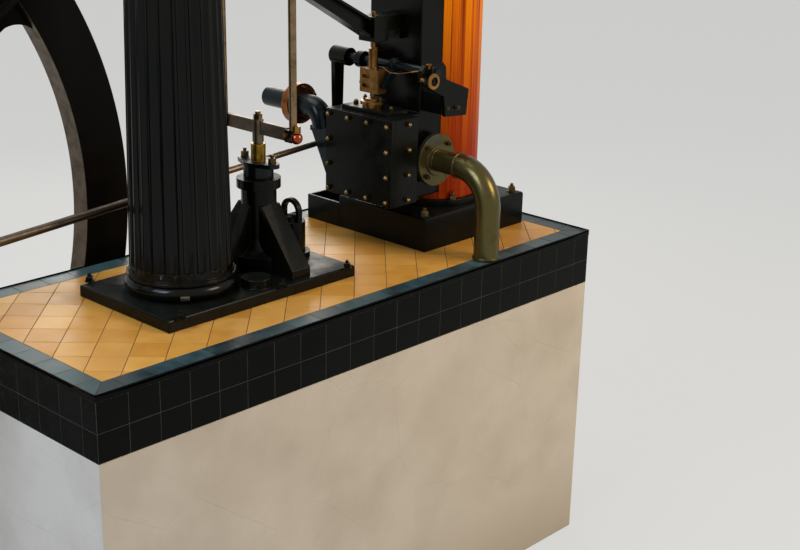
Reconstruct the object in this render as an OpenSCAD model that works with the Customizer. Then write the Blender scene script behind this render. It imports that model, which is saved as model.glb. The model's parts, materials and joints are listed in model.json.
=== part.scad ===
// Single-column rotative beam engine on its tiled plinth and foundation.
// Origin on the column's axis at ground level, +X towards the cylinder, +Y towards the flywheel.
// Rest position: piston at the bottom of its stroke, crank pin above the crankshaft.

/* [Plinth] */
// Length of the plinth along the beam
plinth_l = 3120; // [3000:10:3600]
// Width of the plinth across the beam
plinth_w = 1300; // [1240:10:1320]
// Height of the plinth's top above the ground
bed_z = 1750; // [1740:10:2000]
// Distance from the plinth's left end to the column's axis
column_inset = 925; // [850:5:1000]
// Height of the tiled band on the plinth's sides
skirt_h = 284; // [150:1:600]
// Thickness of the tiling with its bedding
tile_t = 25; // [15:1:40]
// Width of the tiled border on the plinth's top
border_w = 105; // [80:1:200]

/* [Beam and crank] */
// Height of the beam's centre above the plinth
beam_rise = 2750; // [2700:10:2900]
// Length of each half of the beam, centre to end pin
beam_r = 1705; // [1690:5:1740]
// Throw of the crank
crank_r = 500; // [460:5:510]
// Height of the crankshaft's axis above the plinth
shaft_rise = 304; // [290:1:320]
// Depth of the beam at its middle
beam_depth = 460; // [400:5:480]
// Depth of the beam at its end pins
beam_end_depth = 200; // [180:5:240]
// Width of the beam's edge flanges
beam_flange_w = 130; // [100:2:150]
// Thickness of the beam's web
beam_web_t = 44; // [30:1:60]
// Diameter of the beam's gudgeon
gudgeon_d = 120; // [100:1:140]
// Diameter of the pins at the beam's ends
end_pin_d = 90; // [70:1:100]
// Diameter of the crankshaft
shaft_d = 150; // [130:1:160]

/* [Flywheel] */
// Outer diameter of the flywheel
wheel_d = 3862; // [3600:2:3900]
// Radial depth of the flywheel's rim
rim_depth = 239; // [180:1:280]
// Width of the flywheel's rim along the shaft
rim_w = 115; // [90:1:140]
// Distance from the beam's plane to the middle of the rim
wheel_y = 807; // [790:1:840]
// Number of flywheel arms
arm_count = 6; // [4:1:8]
// Direction of the first arm above the horizontal, in degrees
arm_turn = 35; // [0:1:60]

/* [Column] */
// Diameter of the fluted shaft at its foot
column_d = 460; // [440:2:470]
// Diameter of the fluted shaft at its top
column_top_d = 402; // [390:2:420]
// Number of flutes
flute_count = 24; // [16:1:24]
// Height of the bed plate under the column and the pump
plate_t = 55; // [40:1:70]
// Height of the moulded column base
column_base_h = 95; // [80:1:120]
// Height of the fluted shaft
column_shaft_h = 1410; // [1380:5:1440]
// Height of the capital
capital_h = 200; // [180:5:220]

/* [Cylinder] */
// Outer diameter of the wood lagging
lagging_d = 462; // [450:1:480]
// Thickness of the lagging strips
lagging_t = 16; // [12:1:20]
// Bore of the cylinder
cylinder_bore = 380; // [340:2:384]
// Height of the cylinder's base box
base_h = 172; // [150:1:200]
// Length of the base box along the beam
base_l = 776; // [740:2:800]
// Width of the base box
base_w = 614; // [600:2:640]
// Height of the cylinder above the base box
cylinder_h = 1228; // [1220:2:1260]
// Diameter of the piston rod
piston_rod_d = 60; // [50:1:70]
// Length of the main links between their pins
link_l = 540; // [530:2:560]

/* [Valve chest] */
// Width of the valve chest across the beam
chest_w = 460; // [440:2:480]
// Height of the valve chest
chest_h = 433; // [420:1:450]
// Depth of the valve chest along the beam, cover included
chest_l = 187; // [180:1:195]
// Height of the chest's underside above the plinth
chest_rise = 243; // [235:1:250]
// Thickness of the bolted cover
chest_cover_t = 24; // [18:1:30]
// Distance from the cylinder's axis to the chest's back
chest_back = 371; // [365:1:376]
// Distance from the cylinder's axis to the spindle
spindle_back = 458; // [450:1:464]
// Diameter of the valve spindle
spindle_d = 22; // [18:1:26]

/* [Valve gear] */
// Throw of the eccentric
eccentric_r = 55; // [40:1:58]
// Distance from the beam's plane to the eccentric rod
eccentric_y = 372; // [370:1:375]
// Diameter of the eccentric sheave
sheave_d = 310; // [290:2:340]
// Height of the rocking shaft above the plinth
rocker_rise = 907; // [900:1:915]
// Distance from the spindle to the rocking shaft
rocker_arm = 80; // [78:1:84]
// Length of the hanging lever
lever_l = 445; // [435:1:455]
// Diameter of the rocking shaft
rocker_d = 44; // [36:1:50]
// Diameter of the eccentric rod at its strap
eccentric_root_d = 46; // [40:1:52]
// Diameter of the eccentric rod at the lever
eccentric_rod_d = 30; // [26:1:36]

/* [Pump] */
// Distance from the beam's centre to the pump's pin on the beam
pump_r = 472; // [465:1:480]
// Diameter of the pump's barrel
pump_d = 165; // [150:1:180]
// Height of the pump's box flange above the plinth
pump_flange_rise = 479; // [470:1:490]
// Height of the crossbar above the plinth at rest
crossbar_rise = 714; // [705:1:745]
// Distance from the beam's plane to each side rod
side_rod_y = 238; // [232:1:244]
// Diameter of the side rods
side_rod_d = 36; // [30:1:40]

/* [Exhaust pipe] */
// Outer diameter of the straight pipe
exhaust_d = 112; // [100:1:120]
// Diameter of the round flange
exhaust_flange_d = 264; // [240:2:268]
// Height of the pipe's axis above the plinth
exhaust_rise = 438; // [425:1:450]
// Bend radius of the elbow
elbow_r = 186; // [170:1:190]

/* [Fits] */
// Radial clearance of a pin or shaft in its bearing
pin_gap = 0.05; // [0.02:0.01:0.1]
// Gap between faces that slide past each other
slide_gap = 0.5; // [0.3:0.1:0.8]

/* [Hidden] */
$fn = 96;

beam_z = bed_z + beam_rise;
shaft_z = bed_z + shaft_rise;
swing = asin(crank_r / beam_r);
half_span = beam_r * (1 + cos(swing)) / 2;
cyl_x = half_span;
crank_x = -half_span;
pump_x = pump_r * (1 + cos(swing)) / 2;
plinth_x0 = -column_inset;
plinth_x1 = plinth_l - column_inset;

boss_y = 100;
link_y0 = 105;
link_y1 = 150;
link_eye_r = 62;
end_x = beam_r * cos(swing);
end_drop = beam_r * sin(swing);
link_pin_z = beam_z - end_drop - link_l;

cylinder_z = bed_z + base_h;
cylinder_top = cylinder_z + cylinder_h;
body_r = lagging_d / 2 - lagging_t;
flange_r = 290;

chest_x1 = cyl_x - chest_back;
chest_x0 = chest_x1 - chest_l;
chest_z = bed_z + chest_rise;
chest_top = chest_z + chest_h;
passage_x = cyl_x - 303;
spindle_x = cyl_x - spindle_back;
rocker_x = spindle_x + rocker_arm;
rocker_z = bed_z + rocker_rise;

// A cylinder lying along Y from y0 to y1 at the given x and z
module y_rod(x, z, r, y0, y1) {
    translate([x, y0, z]) rotate([-90, 0, 0]) cylinder(r = r, h = y1 - y0);
}

// A block given by its two corners
module block(low, high) {
    translate(low) cube(high - low);
}

// The child's outline in X and Z, extruded along Y from y0 to y1
module xz_plate(y0, y1) {
    translate([0, y1, 0]) rotate([90, 0, 0]) linear_extrude(y1 - y0) children();
}

// The pair of children at +Y and -Y
module both_sides() {
    children();
    mirror([0, 1, 0]) children();
}

// The child's outline in Y and Z, extruded along X from x0 to x1
module yz_plate(x0, x1) {
    translate([x0, 0, 0]) rotate([90, 0, 90]) linear_extrude(x1 - x0) children();
}

// An oval flange with a lug at +Y and one at -Y, with straight sides from the middle to the lugs
module oval_flange(middle_r, lug_r, lug_y, t) {
    turn = acos((middle_r - lug_r) / lug_y);
    cylinder(r = middle_r, h = t);
    for (side = [-1, 1]) {
        translate([0, side * lug_y, 0]) cylinder(r = lug_r, h = t);
        linear_extrude(t) polygon([[0, 0], [middle_r * sin(turn), side * middle_r * cos(turn)],
            [lug_r * sin(turn), side * (lug_y + lug_r * cos(turn))],
            [-lug_r * sin(turn), side * (lug_y + lug_r * cos(turn))],
            [-middle_r * sin(turn), side * middle_r * cos(turn)]]);
    }
}

// Radius of an arc that rises by the given amount over half its chord
function arc_r(half_chord, rise) = (half_chord * half_chord + rise * rise) / (2 * rise);

// The point that lies the given distance to the right of the middle of the way from a to b
function beside(a, b, distance) = let (way = (b - a) / norm(b - a))
    (a + b) / 2 + distance * [way[1], -way[0]];

module foundation() color("gainsboro") {
    core_z = bed_z - skirt_h;
    block([plinth_x0, -plinth_w / 2, 0], [plinth_x1, plinth_w / 2, core_z]);
    block([plinth_x0 + tile_t, tile_t - plinth_w / 2, core_z - 1],
        [plinth_x1 - tile_t, plinth_w / 2 - tile_t, bed_z - tile_t]);
}

pier_l = 620;
bearing_h = 200;
pier_z = shaft_z - bearing_h;
inner_bearing_y = [420, 600];
outer_bearing_y = [1010, 1190];
pier_margin = 20;

// A masonry pier under the bearing that spans the given stretch of Y
module bearing_pier(span) color("gainsboro") {
    block([crank_x - pier_l / 2, span[0] - pier_margin, 0],
        [crank_x + pier_l / 2, span[1] + pier_margin, pier_z]);
}

module inner_bearing_pier() bearing_pier(inner_bearing_y);

module outer_bearing_pier() bearing_pier(outer_bearing_y);

module side_tiling() color("black") difference() {
    block([plinth_x0, -plinth_w / 2, bed_z - skirt_h], [plinth_x1, plinth_w / 2, bed_z - tile_t]);
    block([plinth_x0 + tile_t, tile_t - plinth_w / 2, 0],
        [plinth_x1 - tile_t, plinth_w / 2 - tile_t, bed_z]);
}

module border_tiling() color("slategray") difference() {
    block([plinth_x0, -plinth_w / 2, bed_z - tile_t], [plinth_x1, plinth_w / 2, bed_z]);
    block([plinth_x0 + border_w, border_w - plinth_w / 2, 0],
        [plinth_x1 - border_w, plinth_w / 2 - border_w, bed_z + 1]);
}

module floor_tiling() color("goldenrod") {
    block([plinth_x0 + border_w, border_w - plinth_w / 2, bed_z - tile_t],
        [plinth_x1 - border_w, plinth_w / 2 - border_w, bed_z]);
}

plate_x = [-325, 775];
plate_w = 646;
plate_z = bed_z + plate_t;

module bed_plate() color("darkslategray") {
    chamfer = 8;
    translate([0, 0, bed_z]) difference() {
        block([plate_x[0], -plate_w / 2, 0], [plate_x[1], plate_w / 2, plate_t]);
        for (side = [-1, 1]) {
            translate([0, side * plate_w / 2, plate_t]) rotate([45, 0, 0])
                cube([4000, chamfer, chamfer], center = true);
        }
        for (end = plate_x) {
            translate([end, 0, plate_t]) rotate([0, 45, 0])
                cube([chamfer, 4000, chamfer], center = true);
        }
    }
    // Round boss beside the pump's foot
    translate([plate_boss[0], plate_boss[1], plate_z - 1]) cylinder(d = 134, h = 44);
}

plate_boss = [246, -224];

module column_base() color("darkslategray") translate([0, 0, plate_z]) {
    torus_r = 37;
    base_r = 256;
    fillet_z = 2 * torus_r;
    rotate_extrude() {
        square([base_r - torus_r, fillet_z]);
        translate([base_r - torus_r, torus_r]) circle(torus_r);
        translate([0, fillet_z - 1]) square([column_d / 2 + 14, 12]);
        square([column_d / 2 + 4, column_base_h]);
    }
}

shaft_foot_z = plate_z + column_base_h;
capital_z = shaft_foot_z + column_shaft_h;

module column_shaft() color("darkslategray") translate([0, 0, shaft_foot_z]) {
    flute_r = 28;
    flute_depth = 14;
    margin = 30;
    foot_r = column_d / 2 + flute_r - flute_depth;
    lean = atan((column_d - column_top_d) / 2 / column_shaft_h);
    difference() {
        cylinder(d1 = column_d, d2 = column_top_d, h = column_shaft_h);
        for (i = [0 : flute_count - 1]) {
            rotate([0, 0, i * 360 / flute_count]) translate([foot_r, 0, margin])
                rotate([0, -lean, 0]) cylinder(r = flute_r, h = column_shaft_h - 2 * margin, $fn = 48);
        }
    }
}

necking_h = 100;

module column_capital() color("darkslategray") translate([0, 0, capital_z]) {
    neck_r = column_top_d / 2;
    abacus_w = 560;
    abacus_h = 50;
    echinus_h = capital_h - necking_h - abacus_h;
    rotate_extrude() {
        square([neck_r, necking_h]);
        square([neck_r + 10, 14]);
        difference() {
            translate([0, necking_h - 1]) square([neck_r + echinus_h, echinus_h + 2]);
            translate([neck_r + echinus_h, necking_h - 1]) circle(echinus_h - 8);
        }
    }
    translate([-abacus_w / 2, -abacus_w / 2, capital_h - abacus_h]) cube([abacus_w, abacus_w, abacus_h]);
}

pedestal_z = capital_z + capital_h;
cheek_y0 = 150;
cheek_y1 = 210;
gudgeon_bore_r = gudgeon_d / 2 + pin_gap;

module beam_pedestal() color("darkslategray") {
    foot_t = 60;
    foot_half = 260;
    top_half = 120;
    window_r = 63;
    hollow = 42;
    cheek_h = beam_z - pedestal_z;
    cheek_foot = [foot_half - 10, pedestal_z + foot_t - 1];
    cheek_head = [top_half, beam_z];
    side_r = arc_r(norm(cheek_head - cheek_foot) / 2, hollow);
    side_centre = beside(cheek_foot, cheek_head, side_r - hollow);
    block([-foot_half, -foot_half, pedestal_z], [foot_half, foot_half, pedestal_z + foot_t]);
    block([-30, -cheek_y0 - 1, pedestal_z + foot_t - 1], [30, cheek_y0 + 1, pedestal_z + 0.6 * cheek_h]);
    both_sides() difference() {
        xz_plate(cheek_y0, cheek_y1) polygon([[-cheek_foot[0], cheek_foot[1]], cheek_foot, cheek_head,
            [-cheek_head[0], cheek_head[1]]]);
        y_rod(0, beam_z, gudgeon_bore_r, cheek_y0 - 1, cheek_y1 + 1);
        for (side = [-1, 1]) {
            y_rod(side * side_centre[0], side_centre[1], side_r, cheek_y0 - 1, cheek_y1 + 1, $fn = 360);
            y_rod(side * 115, cheek_foot[1] + 2.1 * window_r, window_r, cheek_y0 - 1, cheek_y1 + 1);
        }
    }
}

module beam_bearing_caps() color("darkslategray") {
    cap_r = 96;
    lug_h = 40;
    oil_cup_r = 17;
    both_sides() difference() {
        union() {
            y_rod(0, beam_z, cap_r, cheek_y0, cheek_y1);
            block([-cap_r - 24, cheek_y0, beam_z], [cap_r + 24, cheek_y1, beam_z + lug_h]);
            translate([0, (cheek_y0 + cheek_y1) / 2, beam_z + cap_r - 4]) {
                cylinder(r = oil_cup_r, h = 18);
                translate([0, 0, 17]) cylinder(r1 = oil_cup_r + 5, r2 = oil_cup_r + 9, h = 26);
            }
        }
        y_rod(0, beam_z, gudgeon_bore_r, cheek_y0 - 1, cheek_y1 + 1);
        block([-2 * cap_r, cheek_y0 - 1, beam_z - 2 * cap_r], [2 * cap_r, cheek_y1 + 1, beam_z]);
    }
}

// Places a child, modelled with the beam level on the origin, as the beam lies at rest
module beam_place() {
    translate([0, 0, beam_z]) rotate([0, swing, 0]) children();
}

// The beam's side outline, drawn in by the given inset
module beam_lens(inset, half_w) {
    r = arc_r(beam_r, (beam_depth - beam_end_depth) / 2);
    intersection() {
        y_rod(0, beam_depth / 2 - r, r - inset, -half_w, half_w, $fn = 720);
        y_rod(0, r - beam_depth / 2, r - inset, -half_w, half_w, $fn = 720);
        block([-beam_r, -half_w, -beam_depth], [beam_r, half_w, beam_depth]);
    }
}

module beam() color("darkslategray") beam_place() difference() {
    flange_t = 42;
    union() {
        beam_lens(0, beam_web_t / 2);
        difference() {
            beam_lens(0, beam_flange_w / 2);
            beam_lens(flange_t, beam_flange_w);
        }
        intersection() {
            beam_lens(flange_t / 2, beam_flange_w / 2);
            for (x = rib_places) {
                block([x - 14, -beam_flange_w / 2 + 12, -beam_depth],
                    [x + 14, beam_flange_w / 2 - 12, beam_depth]);
            }
        }
        y_rod(0, 0, 150, -116, 116);
        y_rod(0, 0, 104, -134, 134);
        for (x = [-beam_r, beam_r]) {
            y_rod(x, 0, beam_end_depth / 2, -boss_y, boss_y);
        }
        for (x = [-pump_r, pump_r]) {
            y_rod(x, 0, 62, -85, 85);
        }
    }
    y_rod(0, 0, gudgeon_d / 2, -200, 200);
    for (x = [-beam_r, beam_r]) {
        y_rod(x, 0, end_pin_d / 2, -200, 200);
    }
    y_rod(pump_r, 0, cross_shaft_r, -200, 200);
}

rib_places = [for (i = [2 : 5]) each [-i * beam_r / 6, i * beam_r / 6]];
cross_shaft_r = 30;

module beam_gudgeon() color("silver") {
    y_rod(0, beam_z, gudgeon_d / 2, -cheek_y1 - 12, cheek_y1 + 12);
}

module beam_end_pins() color("silver") beam_place() {
    collar_r = 58;
    for (x = [-beam_r, beam_r]) {
        y_rod(x, 0, end_pin_d / 2, -link_y1 - 10, link_y1 + 10);
        both_sides() y_rod(x, 0, collar_r, link_y1 + 5, link_y1 + 18);
    }
}

rod_eye_y0 = side_rod_y - 20;
rod_eye_y1 = side_rod_y + 20;

module pump_cross_shaft() color("silver") beam_place() {
    y_rod(pump_r, 0, cross_shaft_r, slide_gap - rod_eye_y0, rod_eye_y0 - slide_gap);
}

module cylinder_base() color("darkslategray") difference() {
    chamfer = 10;
    block([cyl_x - base_l / 2, -base_w / 2, bed_z], [cyl_x + base_l / 2, base_w / 2, cylinder_z]);
    for (side = [-1, 1]) {
        translate([cyl_x, side * base_w / 2, cylinder_z]) rotate([45, 0, 0])
            cube([2 * base_l, chamfer, chamfer], center = true);
        translate([cyl_x + side * base_l / 2, 0, cylinder_z]) rotate([0, 45, 0])
            cube([chamfer, 2 * base_w, chamfer], center = true);
    }
}

drain_w = plinth_w / 2 - border_w - base_w / 2;
drain_h = 130;

module drain_box() color("darkslategray") difference() {
    wall = 14;
    low = [cyl_x - base_l / 2, base_w / 2, bed_z];
    block(low, low + [150, drain_w, drain_h]);
    block(low + [wall, wall, wall], low + [150 - wall, drain_w - wall, drain_h + 1]);
}

foot_flange_h = 33;
top_flange_h = 30;
passage_w = 350;
passage_top = cylinder_top - 70;

module cylinder_body() color("darkslategray") translate([cyl_x, 0, cylinder_z]) difference() {
    floor_t = 50;
    union() {
        cylinder(r = body_r, h = cylinder_h);
        cylinder(r = lagging_d / 2 + 30, h = foot_flange_h);
        translate([0, 0, cylinder_h - top_flange_h]) cylinder(r = flange_r, h = top_flange_h);
    }
    translate([0, 0, floor_t]) cylinder(d = cylinder_bore, h = cylinder_h);
}

exhaust_x = cyl_x - 236;
exhaust_z = bed_z + exhaust_rise;

module cylinder_lagging() color("chocolate") difference() {
    translate([cyl_x, 0, cylinder_z + foot_flange_h]) difference() {
        cylinder(d = lagging_d, h = cylinder_h - foot_flange_h - top_flange_h);
        translate([0, 0, -1]) cylinder(r = body_r, h = cylinder_h);
    }
    block([passage_x, -passage_w / 2, chest_z], [cyl_x, passage_w / 2, passage_top]);
}

cover_t = 30;
stuffing_h = 70;
gland_h = 30;
rod_bore_r = piston_rod_d / 2 + pin_gap;

module cylinder_cover() color("darkslategray") translate([cyl_x, 0, cylinder_top]) difference() {
    gland_stud_y = 81;
    gland_lug_r = 24;
    dish_r = 160;
    box_r = 82;
    fillet_r = 34;
    box_top = cover_t + stuffing_h;
    union() {
        cylinder(r = flange_r, h = cover_t);
        rotate_extrude() {
            polygon([[0, cover_t - 1], [dish_r, cover_t - 1], [dish_r - 12, cover_t + 12], [0, cover_t + 12]]);
            difference() {
                translate([0, cover_t]) square([box_r + fillet_r, 12 + fillet_r]);
                translate([box_r + fillet_r, cover_t + 12 + fillet_r]) circle(fillet_r);
            }
            translate([0, cover_t]) square([box_r, stuffing_h - 20]);
            translate([0, box_top - 22]) square([box_r + 12, 22]);
        }
        translate([0, 0, box_top]) cylinder(r = 52, h = gland_h);
        translate([0, 0, box_top - 22]) oval_flange(62, gland_lug_r, gland_stud_y, 40);
    }
    translate([0, 0, -1]) cylinder(r = rod_bore_r, h = 400);
}

guide_y0 = 175;
guide_y1 = 235;

module crosshead_guides() color("darkslategray") both_sides() translate([cyl_x, 0, 0]) {
    foot_half = 130;
    foot_t = 34;
    bar_half = 60;
    face_t = 26;
    rib_half = 13;
    flare_h = 230;
    z0 = cylinder_top + cover_t;
    z1 = link_pin_z + 2 * crank_r;
    foot_corner = [foot_half - 6, z0 + foot_t - 1];
    flare_top = [bar_half, z0 + foot_t + flare_h];
    flare_r = arc_r(norm(flare_top - foot_corner) / 2, 26);
    flare_centre = beside(foot_corner, flare_top, flare_r - 26);
    block([-foot_half, guide_y0, z0], [foot_half, guide_y1, z0 + foot_t]);
    difference() {
        xz_plate(guide_y0, guide_y0 + face_t) polygon([[-foot_corner[0], foot_corner[1]], foot_corner,
            flare_top, [bar_half, z1], [-bar_half, z1], [-flare_top[0], flare_top[1]]]);
        for (side = [-1, 1]) {
            y_rod(side * flare_centre[0], flare_centre[1], flare_r, guide_y0 - 1, guide_y1, $fn = 180);
        }
    }
    block([-rib_half, guide_y0, z0 + foot_t - 1], [rib_half, guide_y1, z1]);
    block([-bar_half, guide_y0, z1 - 30], [bar_half, guide_y1, z1]);
}

crosshead_half_h = 170;

module piston_rod() color("silver") translate([cyl_x, 0, 0]) {
    piston_h = 100;
    piston_z = cylinder_z + 68;
    translate([0, 0, piston_z]) cylinder(r = cylinder_bore / 2 - slide_gap, h = piston_h);
    translate([0, 0, piston_z + piston_h - 1])
        cylinder(d = piston_rod_d, h = link_pin_z - crosshead_half_h - piston_z - piston_h + 1);
}

module crosshead() color("silver") {
    slipper_half = 50;
    socket_r = 66;
    arm_z = [link_pin_z - crosshead_half_h, link_pin_z - 90];
    arm_y = guide_y0 - 10;
    y_rod(cyl_x, link_pin_z, 75, -boss_y, boss_y);
    translate([cyl_x, 0, arm_z[0]]) cylinder(r = socket_r, h = crosshead_half_h);
    block([cyl_x - slipper_half + 5, -arm_y, arm_z[0]], [cyl_x + slipper_half - 5, arm_y, arm_z[1]]);
    // Cotter through the piston rod's socket
    block([cyl_x - socket_r - 22, -9, arm_z[0] + 14], [cyl_x + socket_r + 22, 9, arm_z[0] + 54]);
    both_sides() block([cyl_x - slipper_half, guide_y0 - 20, arm_z[0] - 15],
        [cyl_x + slipper_half, guide_y0 - slide_gap, arm_z[1] + 15]);
}

link_lean = asin((cyl_x - end_x) / link_l);

// Places a child, modelled hanging from the origin, at the beam pin that carries it
module hang_from(x, z, lean) {
    translate([x, 0, z]) rotate([0, lean, 0]) children();
}

// One eye on a pin, with a bar below it down to the given depth
module hanging_bar(depth, eye_r, bar_half, y0, y1) {
    y_rod(0, 0, eye_r, y0, y1);
    block([-bar_half, y0 + 4, -depth], [bar_half, y1 - 4, 0]);
}

module main_links() color("silver") hang_from(end_x, beam_z - end_drop, -link_lean) both_sides() {
    difference() {
        union() {
            hanging_bar(link_l, link_eye_r, 38, link_y0, link_y1);
            y_rod(0, -link_l, link_eye_r, link_y0, link_y1);
            y_rod(0, -link_l, end_pin_d / 2, boss_y + slide_gap, link_y1 + 8);
        }
        y_rod(0, 0, end_pin_d / 2 + pin_gap, link_y0 - 1, link_y1 + 1);
    }
}

spindle_bore_r = spindle_d / 2 + pin_gap;
chest_pad_t = 24;

module valve_chest() color("darkslategray") difference() {
    pad_half = 156;
    union() {
        block([chest_x0 + chest_cover_t, -chest_w / 2, chest_z], [chest_x1, chest_w / 2, chest_top]);
        block([spindle_x - 60, -pad_half, chest_top - 1],
            [chest_x1, pad_half, chest_top + chest_pad_t]);
    }
    translate([spindle_x, 0, chest_top - 260]) cylinder(r = spindle_bore_r, h = 400);
}

module chest_cover() color("darkslategray") {
    block([chest_x0, -chest_w / 2, chest_z], [chest_x0 + chest_cover_t, chest_w / 2, chest_top]);
}

module valve_gland() color("peru") translate([spindle_x, 0, chest_top + chest_pad_t]) {
    rotate_extrude() translate([spindle_bore_r, 0]) {
        square([40, 18]);
        translate([0, 17]) square([50, 18]);
        translate([0, 34]) square([28, 12]);
    }
}

spindle_block_z = rocker_z - 132;
spindle_block_h = 118;
spindle_block_half = 62;

module valve_spindle() color("peru") {
    block_l = 60;
    slot_h = 18;
    spindle_z0 = chest_top - 150;
    sleeve_h = 100;
    translate([spindle_x, 0, spindle_z0])
        cylinder(d = spindle_d, h = guide_z[1] + 20 - spindle_z0);
    translate([spindle_x, 0, spindle_block_z + spindle_block_h - 1]) cylinder(d = 46, h = sleeve_h);
    difference() {
        block([spindle_x - block_l / 2, -spindle_block_half, spindle_block_z],
            [spindle_x + block_l / 2, spindle_block_half, spindle_block_z + spindle_block_h]);
        for (level = [0.2, 0.6]) {
            translate([spindle_x - block_l / 2 - 1, -5, spindle_block_z + level * spindle_block_h])
                cube([16, 50, slot_h]);
        }
    }
}

module steam_passage() color("darkslategray") difference() {
    union() {
        block([chest_x1, -passage_w / 2, chest_z], [cyl_x, passage_w / 2, chest_top + 1]);
        block([passage_x, -passage_w / 2, chest_top], [cyl_x, passage_w / 2, passage_top]);
    }
    translate([cyl_x, 0, bed_z]) cylinder(r = body_r, h = 2 * cylinder_h);
    block([cyl_x - 100, -lagging_d, bed_z], [cyl_x + 1, lagging_d, 2 * cylinder_top]);
}

guide_front_x = spindle_x - 50;
guide_z = [rocker_z + 123, rocker_z + 243];

module column_brace() color("darkslategray") difference() {
    flange_t = 16;
    web_half = 8;
    flange_half = 40;
    root_x = column_top_d / 2 - 20;
    low_z = [capital_z + 36, guide_z[0] + 17];
    high_z = [capital_z + necking_h - 8, guide_z[1] - 5];
    union() {
        xz_plate(-web_half, web_half) polygon([[root_x, low_z[0]], [guide_front_x, low_z[1]],
            [guide_front_x, high_z[1]], [root_x, high_z[0]]]);
        for (edge = [[low_z, flange_t], [high_z, -flange_t]]) {
            xz_plate(-flange_half, flange_half) polygon([[root_x, edge[0][0]], [guide_front_x, edge[0][1]],
                [guide_front_x, edge[0][1] + edge[1]], [root_x, edge[0][0] + edge[1]]]);
        }
    }
    translate([0, 0, capital_z - 200]) cylinder(d = column_top_d, h = 400);
}

module spindle_guide() color("darkslategray") difference() {
    block([guide_front_x, -54, guide_z[0]], [passage_x, 54, guide_z[1]]);
    block([spindle_x + 50, -55, guide_z[0] - 1], [passage_x - 30, 55, guide_z[0] + 48]);
    translate([spindle_x, 0, guide_z[0] - 1]) cylinder(r = spindle_bore_r, h = 200);
}

lifter_y0 = spindle_block_half + 1;
lifter_y1 = lifter_y0 + 20;
lever_y0 = 312;
lever_y1 = 352;
near_bearing_y = [-352, -290];
far_bearing_y = [135, 175];

module rocker_shaft() color("silver") {
    y_rod(rocker_x, rocker_z, rocker_d / 2, near_bearing_y[0] - 6, lever_y1 - 4);
    both_sides() {
        tip_r = 16;
        y_rod(rocker_x, rocker_z, 38, lifter_y0, lifter_y1);
        y_rod(spindle_x + 4, spindle_block_z + 40, tip_r, lifter_y0, lifter_y1);
        xz_plate(lifter_y0, lifter_y1) polygon([[rocker_x, rocker_z + 30], [rocker_x + 20, rocker_z - 30],
            [spindle_x + 8, spindle_block_z + 24], [spindle_x - 6, spindle_block_z + 52]]);
    }
}

module rocker_lever() color("darkslategray") difference() {
    union() {
        y_rod(rocker_x, rocker_z, 46, 240, lever_y1);
        y_rod(rocker_x, rocker_z - lever_l, 34, lever_y0, lever_y1);
        xz_plate(lever_y0 + 6, lever_y1 - 6) polygon([[rocker_x - 34, rocker_z], [rocker_x + 34, rocker_z],
            [rocker_x + 22, rocker_z - lever_l], [rocker_x - 22, rocker_z - lever_l]]);
    }
    y_rod(rocker_x, rocker_z, rocker_d / 2, 200, lever_y1 - 4);
}

module rocker_bracket() color("darkslategray") {
    plate_t = 22;
    plate_y = [near_bearing_y[0] + 24, near_bearing_y[0] + 24 + plate_t];
    bore_r = rocker_d / 2 + pin_gap;
    difference() {
        union() {
            xz_plate(plate_y[0], plate_y[1]) translate([rocker_x, rocker_z]) polygon([[-86, -40], [-86, 18],
                [-60, 42], [68, 42], [88, 20], [92, -42], [262, -110], [248, -240], [94, -228],
                [78, -125], [12, -94]]);
            y_rod(rocker_x, rocker_z, 42, near_bearing_y[0], near_bearing_y[1]);
        }
        y_rod(rocker_x, rocker_z, bore_r, -400, -200);
    }
    // Distance piece from the plate back to the passage casting
    block([passage_x + 12, plate_y[1], rocker_z - 220], [passage_x + 62, -passage_w / 2, rocker_z - 120]);
    // Far bearing lug, standing off the front of the passage casting
    difference() {
        union() {
            y_rod(rocker_x, rocker_z, 42, far_bearing_y[0], far_bearing_y[1]);
            block([rocker_x, far_bearing_y[0], rocker_z - 34],
                [passage_x, far_bearing_y[1], rocker_z + 34]);
        }
        y_rod(rocker_x, rocker_z, bore_r, 100, 200);
    }
}

// Distance of the exhaust pipe's leg from the beam's plane
elbow_y = -580;

// A quarter bend about the given centre, from a vertical leg at -Y round to a run along +Y
module elbow(centre, bend_r, tube_r) {
    translate(centre) rotate([0, 0, -90]) rotate([90, 0, 0])
        rotate_extrude(angle = 90) translate([bend_r, 0]) circle(tube_r);
}

module exhaust_pipe() color("darkolivegreen") {
    flange_t = 28;
    stub_r = 78;
    elbow_tube_r = exhaust_d / 2 + 6;
    bend_y = elbow_y + elbow_r;
    flange_y = -passage_w / 2 - 37;
    hub_r = exhaust_d / 2 + 22;
    y_rod(exhaust_x, exhaust_z, stub_r, flange_y - 1, -passage_w / 2);
    y_rod(exhaust_x, exhaust_z, exhaust_flange_d / 2, flange_y - flange_t, flange_y);
    y_rod(exhaust_x, exhaust_z, hub_r, flange_y - flange_t - 10, flange_y);
    y_rod(exhaust_x, exhaust_z, exhaust_d / 2, bend_y, flange_y);
    y_rod(exhaust_x, exhaust_z, elbow_tube_r + 5, bend_y, bend_y + 12);
    elbow([exhaust_x, bend_y, exhaust_z - elbow_r], elbow_r, elbow_tube_r);
    translate([exhaust_x, elbow_y, bed_z]) {
        cylinder(r = elbow_tube_r, h = exhaust_z - elbow_r - bed_z + 1);
        cylinder(r = elbow_tube_r + 6, h = 14);
    }
}

inlet_x = chest_x0 + 40;

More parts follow.
